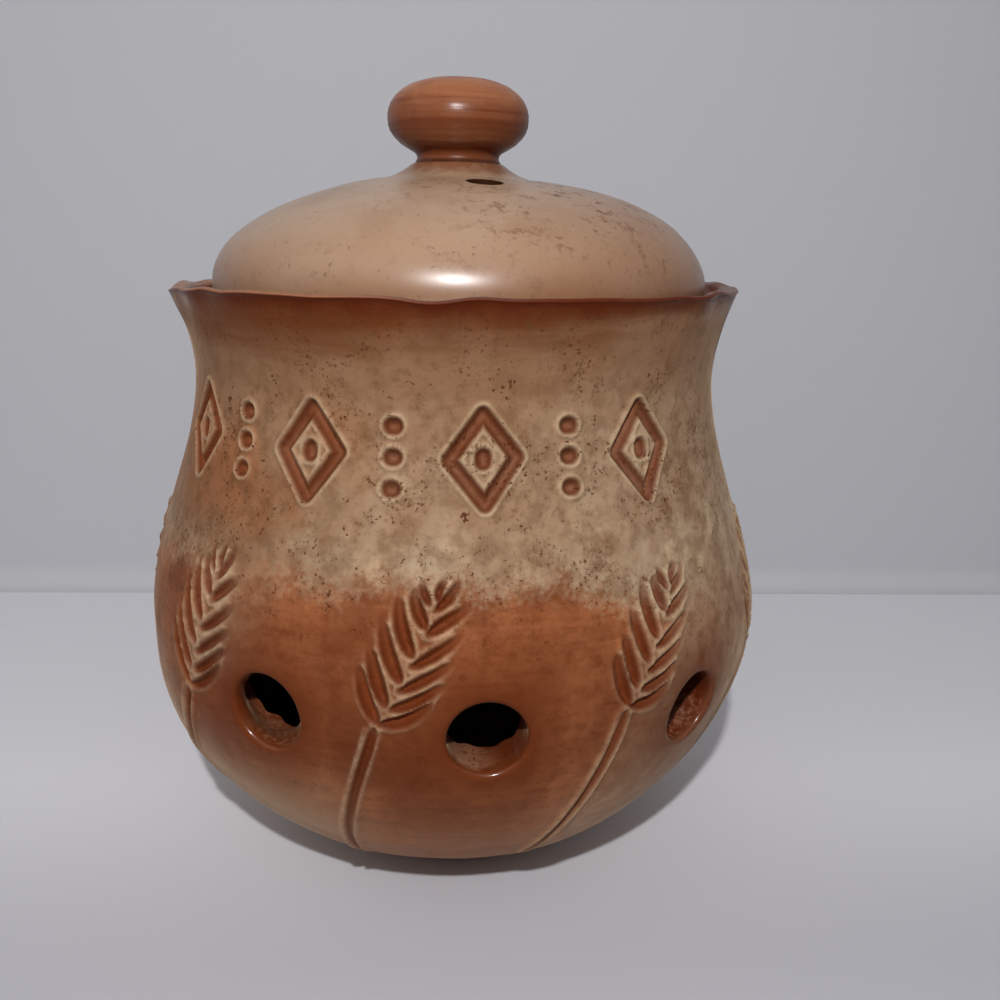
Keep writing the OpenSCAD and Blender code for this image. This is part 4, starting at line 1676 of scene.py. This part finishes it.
def pot_specks(glaze, tints, on):
    """Iron specks, dense on the shoulder. Gives their mask."""
    dense = glaze.times(glaze.rise(glaze.z, 0.085, 0.11), glaze.rise(glaze.z, 0.172, 0.15, 0.5, 1.0))
    patchy = glaze.times(on.patch, glaze.plus(glaze.times(dense, 0.7), 0.3))
    where = glaze.most(patchy, glaze.times(on.tunnel, on.tunnel_floor))
    fine = glaze.times(glaze.specks(0.0010, 0.75, 0.62, 1.0), where)
    coarse = glaze.times(glaze.specks(0.0036, 0.4, 0.32, 4.0), glaze.plus(glaze.times(dense, 0.6), 0.4))
    blots = glaze.times(glaze.specks(0.012, 0.5, 0.1, 8.0), dense, 0.85)
    specks = glaze.most(fine, coarse, blots)
    glaze.lay(tints.speck, specks, 0.92)
    return specks


def clay_grain(glaze):
    """Fine grain that roughens a glaze."""
    return glaze.clouds(0.0012, 31.0, 0.2, 0.8, detail=2.0)


def pot_glaze(tints):
    """Cream glaze sprayed orange-brown over the ears, brown at the lip, with iron specks."""
    glaze = Glaze("Pot glaze", 0.05, tints.cream)
    x, z, rise = glaze.x, glaze.z, glaze.rise
    on = pot_patterns(glaze)
    pot_shoulder(glaze, tints, on)
    spray = pot_spray(glaze, tints, on)
    pot_recesses(glaze, tints, on, spray)
    specks = pot_specks(glaze, tints, on)
    # Brown glaze of the inside; along each air hole it grows deeper in, a painted shade
    glaze.lay(tints.rim, on.inside, 0.9)

    matt = glaze.weighed((on.small, 0.1), (specks, 0.1), (on.groove, 0.08))
    rough = glaze.plus(rise(z, 0.166, 0.172, 0.45, 0.2), glaze.times(on.vent, -0.12), matt)
    glint = glaze.plus(glaze.times(glaze.between(x, -0.034, -0.02, 0.008, 0.028), 0.5), 0.06)
    lip_top = glaze.times(rise(z, 0.170, 0.172), rise(on.upward, 0.3, 0.6), glint)
    wet_hole = glaze.times(rise(on.vent, 0.93, 1.0), rise(on.upward, 0.2, 0.6), 0.18)
    glaze.coat(glaze.most(lip_top, wet_hole), 0.2, 2.2)
    for part, value in (("Weight", 0.25), ("Roughness", 0.3), ("Tint", (*tints.edge, 1.0))):
        glaze.feed(value, glaze.shader["Sheen " + part])
    height = glaze.plus(
        glaze.weighed((clay_grain(glaze), 0.12), (on.streak, 0.12), (on.small, 0.3)),
        glaze.times(on.tunnel, on.mottle, 0.3))
    return glaze.finish(rough, height, 0.0003)


def lid_glaze(tints):
    """Salmon-beige glaze with warm clouds, specks and grime in its scratches."""
    glaze = Glaze("Lid glaze", 0.02, tints.salmon)
    x, rise = glaze.x, glaze.rise
    vent, inside = glaze.mark("vent"), glaze.mark("inside")
    wide = glaze.clouds(0.03, 3.0, 0.38, 0.66)
    small = glaze.clouds(0.007, 6.0, 0.36, 0.68)
    streak = glaze.effect("rings", pitch=0.004, length=0.05, seed=8.0)
    glaze.lay(tints.warm, wide, 0.45)
    edge = rise(glaze.plus(glaze.z, glaze.times(wide, 0.006)), 0.196, 0.174)
    glaze.lay(tints.warm, edge, 0.85)
    glaze.lay(tints.warm, rise(x, 0.0, 0.05), 0.5)
    glaze.lay(tints.rust, edge, rise(x, -0.03, 0.02), 0.25)
    stem_ring = rise(glaze.plus(glaze.from_axis(glaze.place), glaze.times(small, 0.003)), 0.0225, 0.0150)
    glaze.lay(tints.rust, stem_ring, 0.85)

    worn_spot = {0: glaze.place, 1: (0.026, -0.034, 0.203)}
    from_worn = glaze.add("ShaderNodeVectorMath", worn_spot, operation="DISTANCE").outputs["Value"]
    worn = rise(from_worn, 0.055, 0.01)
    lines = glaze.times(
        glaze.effect("hairlines", patch_size=0.011, width=0.05, seed=9.0),
        glaze.clouds(0.016, 10.0, 0.4, 0.58), glaze.plus(glaze.times(worn, 0.7), 0.2))
    stain = glaze.times(
        glaze.clouds(0.0018, 12.0, 0.54, 0.68), glaze.clouds(0.013, 11.0, 0.46, 0.56), worn, 0.7)
    dirt = glaze.most(lines, stain)
    glaze.lay(tints.grime, dirt)
    fine = glaze.times(glaze.specks(0.0012, 0.35, 0.5, 2.0), glaze.plus(glaze.times(small, 0.5), 0.15))
    coarse = glaze.times(glaze.specks(0.0065, 0.4, 0.16, 5.0), 0.9)
    glaze.lay(tints.pit, glaze.most(fine, coarse))
    # Painted shade: the steam hole's walls and edge are darkened to the pit brown
    hole = rise(vent, 0.55, 0.95)
    glaze.lay(tints.pit, hole)
    glaze.lay(tints.warm, inside, glaze.without(hole), 0.6)

    rough = glaze.plus(0.5, glaze.weighed((small, 0.06), (dirt, 0.25)))
    outer = rise(glaze.most(vent, inside), 0.8, 0.4)
    glaze.coat(glaze.times(outer, glaze.without(glaze.times(dirt, 0.6))), 0.34, 1.6)
    height = glaze.weighed((clay_grain(glaze), 0.06), (streak, 0.05), (small, 0.15))
    return glaze.finish(rough, height, 0.0003)


def knob_glaze(tints):
    """Glossy orange-brown glaze that breaks lighter over the throwing rings."""
    glaze = Glaze("Knob glaze", 0.25, tints.brown)
    z, rise = glaze.z, glaze.rise
    streak = glaze.effect("rings", pitch=0.0026, length=0.05, seed=4.0, low=0.42, high=0.58)
    thread = glaze.effect("rings", pitch=0.0009, length=0.04, seed=15.0, low=0.36, high=0.64)
    wide = glaze.clouds(0.014, 13.0, 0.38, 0.66)
    small = glaze.clouds(0.003, 14.0, 0.3, 0.7)
    top = rise(glaze.plus(z, glaze.weighed((streak, 0.002), (wide, 0.0015))), 0.2238, 0.2315)
    broken = glaze.times(glaze.weighed((streak, 0.7), (thread, 0.3)), 0.34)
    glaze.lay(tints.orange, glaze.most(broken, glaze.times(top, 0.9)))
    glaze.lay(tints.brown, wide, small, 0.5)
    # Painted light: the downward-facing lower half is lightened against its shade
    glaze.lay(tints.orange, rise(z, 0.2205, 0.2185), 0.3)
    band = glaze.times(
        glaze.between(z, 0.2168, 0.2184, 0.2202, 0.2216), glaze.plus(glaze.times(streak, 0.3), 0.5))
    stem = glaze.times(rise(z, 0.2152, 0.2136), 0.75)
    glaze.lay(tints.brown, glaze.most(band, stem))
    glaze.lay(tints.dark, rise(z, 0.2112, 0.2104), 0.8)
    glaze.lay(tints.dark, glaze.specks(0.0016, 0.35, 0.4, 6.0), 0.5)
    rough = glaze.plus(0.3, glaze.times(wide, 0.12))
    height = glaze.weighed((streak, 0.1), (thread, 0.06), (wide, 0.2), (small, 0.12))
    return glaze.finish(rough, height, 0.0002)


# Pieces


class KEEPER_OT_pot(bpy.types.Operator):
    """Build the pot with its ring of ears and air holes"""

    bl_idname = "keeper.pot"
    bl_label = "Build pot"

    def execute(self, context):
        settings = context.scene.keeper_pot
        form = PotForm(settings)
        sector, rest = sector_tile(form, settings), pot_rest(form, settings)
        grow(sector, sector_ring_tree(hand_worked_tree()), sectors=settings.vent_count, rest_of_the_pot=rest,
             unevenness=settings.unevenness, seed=settings.seed, weld=WELD, glaze=pot_glaze(settings))
        pot = settle(sector, "pot_body", rest)
        note_glaze(pot.data, *hand_shape(pot.data, form))
        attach(pot, "pot")
        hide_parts("pot")
        return {"FINISHED"}


class KEEPER_OT_lid(bpy.types.Operator):
    """Build the domed lid with its steam hole"""

    bl_idname = "keeper.lid"
    bl_label = "Build lid"

    def execute(self, context):
        settings = context.scene.keeper_lid
        shell = lid_shell(settings)
        grow(shell, lid_tree(hand_worked_tree()), unevenness=settings.unevenness, seed=settings.seed,
             weld=WELD, glaze=lid_glaze(settings))
        lid = settle(shell, "lid_body")
        lean_lid(lid.data)
        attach(lid, "lid")
        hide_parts("lid")
        return {"FINISHED"}


# Outline of the knob from the axis under its stem to its top: radius and height in millimetres
KNOB_OUTLINE = (
    (0.0, 209.8), (13.0, 209.8), (12.4, 210.6), (12.1, 211.5), (12.5, 212.5), (13.9, 213.5), (16.2, 214.8),
    (18.3, 216.5), (19.8, 218.3), (20.6, 220.2), (20.8, 222.1), (20.7, 224.0), (20.1, 226.0), (18.9, 228.0),
    (17.1, 229.7), (15.0, 231.1), (12.4, 232.2), (9.6, 232.95), (6.4, 233.4), (3.0, 233.55), (0.0, 233.55),
)
OUTLINE_STEPS = 10


def outline_curve(name, points):
    """A smooth curve through an outline of radii and heights in millimetres, with a square first corner."""
    data = bpy.data.curves.new(name, "CURVE")
    data.dimensions = "3D"
    data.resolution_u = OUTLINE_STEPS
    spline = data.splines.new("BEZIER")
    spline.bezier_points.add(len(points) - 1)
    for k, (knot, (r, z)) in enumerate(zip(spline.bezier_points, points)):
        knot.co = (r * MM, 0.0, z * MM)
        knot.handle_left_type = knot.handle_right_type = "VECTOR" if k < 2 else "AUTO"
    return placed(name, data)


class KEEPER_OT_knob(bpy.types.Operator):
    """Build the thrown knob on its stem"""

    bl_idname = "keeper.knob"
    bl_label = "Build knob"

    def execute(self, context):
        settings = context.scene.keeper_knob
        outline = outline_curve("knob_outline", KNOB_OUTLINE)
        holder = placed("knob_holder", bpy.data.meshes.new("knob_holder"))
        grow(holder, thrown_form_tree(), outline=outline, segments=settings.segments, rows=settings.rows,
             ring_depth=settings.ring_depth, glaze=knob_glaze(settings))
        knob = settle(holder, "knob_body", outline)
        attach(knob, "lid")
        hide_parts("knob")
        return {"FINISHED"}


# Stage

# Backdrop, in metres: half width, depths of the floor's rows, then the wall's place, bend and height
BACKDROP_HALF = 2.0
BACKDROP_ROWS = (-2.0, -0.4, 0.0)
WALL_Y = 0.21
WALL_BEND = 0.012
WALL_BEND_ROWS = 9
WALL_TOP = 1.6
# Depths between which painted shade darkens the floor towards the camera
FLOOR_FADE = (0.02, -0.10)
# What the lamps aim at, then the place and size of each
LAMP_AIM = (0.0, 0.0, 0.12)
KEY_LAMP = ((-0.02, -0.455, 0.416), 0.016)
FILL_LAMP = ((-0.9, -0.4, 0.7), 0.9)
# Directions between which the sky is dimmed, towards the front and downwards
DIM_FRONT = (-0.1, -0.7)
DIM_LOW = (0.8, 0.3)
# A lens as long as the sensor is wide, in millimetres, sees as wide as it is far
LENS = SENSOR = 36.0
CLIP_START = 0.01


def backdrop_material(name, shade, front):
    """Pale cloth that fades to a painted-shade colour in front, and lets a view from behind look through it.
    """
    material = bpy.data.materials.new(name)
    material.use_nodes = True
    nodes = Nodes(material.node_tree)
    shader = nodes.tree.nodes["Principled BSDF"]
    place = nodes.axes(nodes.add("ShaderNodeTexCoord").outputs["Object"])
    inputs = {0: nodes.rise(place["Y"], *FLOOR_FADE), 6: (*shade, 1.0), 7: (*front, 1.0)}
    tone = nodes.add("ShaderNodeMix", inputs, data_type="RGBA").outputs[2]
    nodes.feed(tone, shader.inputs["Base Color"])
    shader.inputs["Roughness"].default_value = 0.9
    shader.inputs["Specular IOR Level"].default_value = 0.1
    clear = nodes.add("ShaderNodeBsdfTransparent").outputs[0]
    behind = nodes.add("ShaderNodeNewGeometry").outputs["Backfacing"]
    both = nodes.add("ShaderNodeMixShader", {0: behind, 1: shader.outputs[0], 2: clear}).outputs[0]
    nodes.feed(both, nodes.tree.nodes["Material Output"].inputs["Surface"])
    return material


def backdrop(settings):
    """Floor that turns up into a wall behind the pot."""
    outline = [(y, 0.0) for y in BACKDROP_ROWS]
    outline += [(WALL_Y - WALL_BEND + WALL_BEND * math.sin(t), WALL_BEND - WALL_BEND * math.cos(t))
                for t in np.linspace(0.0, QUARTER, WALL_BEND_ROWS)]
    outline.append((WALL_Y, WALL_TOP))
    mesh = bpy.data.meshes.new("backdrop")
    points = [(x, y, z) for y, z in outline for x in (-BACKDROP_HALF, BACKDROP_HALF)]
    faces = [(2 * k, 2 * k + 1, 2 * k + 3, 2 * k + 2) for k in range(len(outline) - 1)]
    mesh.from_pydata(points, [], faces)
    mesh.shade_smooth()
    mesh.materials.append(backdrop_material("Floor", settings.floor, settings.floor_front))
    mesh.materials.append(backdrop_material("Wall", settings.wall, settings.wall))
    for face in mesh.polygons[len(BACKDROP_ROWS):]:
        face.material_index = 1
    return placed("backdrop", mesh)


def lamp(name, place, size, power):
    """A soft square lamp aimed at the pot."""
    data = bpy.data.lights.new(name, "AREA")
    data.size = size
    data.energy = power
    made = placed(name, data)
    made.location = place
    made.rotation_euler = (Vector(LAMP_AIM) - Vector(place)).to_track_quat("-Z", "Y").to_euler()


def studio_sky(settings):
    """A pale even sky that gives less light low in front, as a dark curtain behind the camera would."""
    world = bpy.data.worlds.new("Studio")
    world.use_nodes = True
    nodes = Nodes(world.node_tree)
    _, y, z = nodes.axes(nodes.add("ShaderNodeTexCoord").outputs["Generated"])
    seen = nodes.add("ShaderNodeLightPath").outputs["Is Camera Ray"]
    dim = nodes.times(nodes.rise(y, *DIM_FRONT), nodes.rise(z, *DIM_LOW), nodes.without(seen))
    shader = nodes.tree.nodes["Background"]
    shader.inputs["Color"].default_value = (*settings.sky, 1.0)
    low_power = settings.sky_power * (1.0 - settings.dim_front)
    nodes.feed(nodes.rise(dim, 0.0, 1.0, settings.sky_power, low_power), shader.inputs["Strength"])
    return world


def photo_camera(settings):
    """The camera, turned by its pan, pitch and roll."""
    data = bpy.data.cameras.new("camera")
    data.sensor_width = SENSOR
    data.lens = LENS
    data.clip_start = CLIP_START
    pitch, pan, roll = settings.pitch, settings.pan, settings.roll
    forward = Vector((math.sin(pan) * math.cos(pitch), math.cos(pan) * math.cos(pitch), -math.sin(pitch)))
    right = Vector((math.cos(pan), -math.sin(pan), 0.0))
    up = right.cross(forward)
    right, up = (right * math.cos(roll) + up * math.sin(roll), up * math.cos(roll) - right * math.sin(roll))
    place = Vector((0.0, -settings.camera_back, settings.camera_height))
    camera = placed("camera", data)
    camera.matrix_world = Matrix((
        (*right, 0.0), (*up, 0.0), (*-forward, 0.0), (*place, 1.0))).transposed()
    return camera


class KEEPER_OT_stage(bpy.types.Operator):
    """Set the backdrop, lamps and camera"""

    bl_idname = "keeper.stage"
    bl_label = "Set stage"

    def execute(self, context):
        settings = context.scene.keeper_stage
        scene = context.scene
        backdrop(settings)
        lamp("lamp_key", *KEY_LAMP, settings.key_power)
        lamp("lamp_fill", *FILL_LAMP, settings.fill_power)
        scene.world = studio_sky(settings)
        scene.camera = photo_camera(settings)
        scene.view_settings.view_transform = "Standard"
        return {"FINISHED"}


# Panel


class KEEPER_PT_panel(bpy.types.Panel):
    """Sizes, colours and build steps of the onion keeper"""

    bl_idname = "KEEPER_PT_panel"
    bl_label = "Onion keeper"
    bl_space_type = "VIEW_3D"
    bl_region_type = "UI"
    bl_category = "Onion keeper"

    def draw(self, context):
        for operator, settings, _ in STEPS:
            box = self.layout.box()
            box.operator(operator.bl_idname)
            group = getattr(context.scene, settings)
            for name in group.bl_rna.properties.keys():
                if name not in {"rna_type", "name"}:
                    box.prop(group, name)


STEPS = (
    (KEEPER_OT_pot, "keeper_pot", PotSettings),
    (KEEPER_OT_lid, "keeper_lid", LidSettings),
    (KEEPER_OT_knob, "keeper_knob", KnobSettings),
    (KEEPER_OT_stage, "keeper_stage", StageSettings),
)
CLASSES = [cls for operator, _, group in STEPS for cls in (group, operator)] + [KEEPER_PT_panel]


def register():
    """Registers the classes and hangs their settings on the scene."""
    for cls in CLASSES:
        bpy.utils.register_class(cls)
    for _, name, group in STEPS:
        setattr(bpy.types.Scene, name, PointerProperty(type=group))


def unregister():
    """Takes the settings and classes away again."""
    for _, name, _ in STEPS:
        delattr(bpy.types.Scene, name)
    for cls in reversed(CLASSES):
        bpy.utils.unregister_class(cls)


def main():
    """Builds the pieces and the stage."""
    register()
    bpy.ops.keeper.pot()
    bpy.ops.keeper.lid()
    bpy.ops.keeper.knob()
    bpy.ops.keeper.stage()


if __name__ == "__main__":
    main()
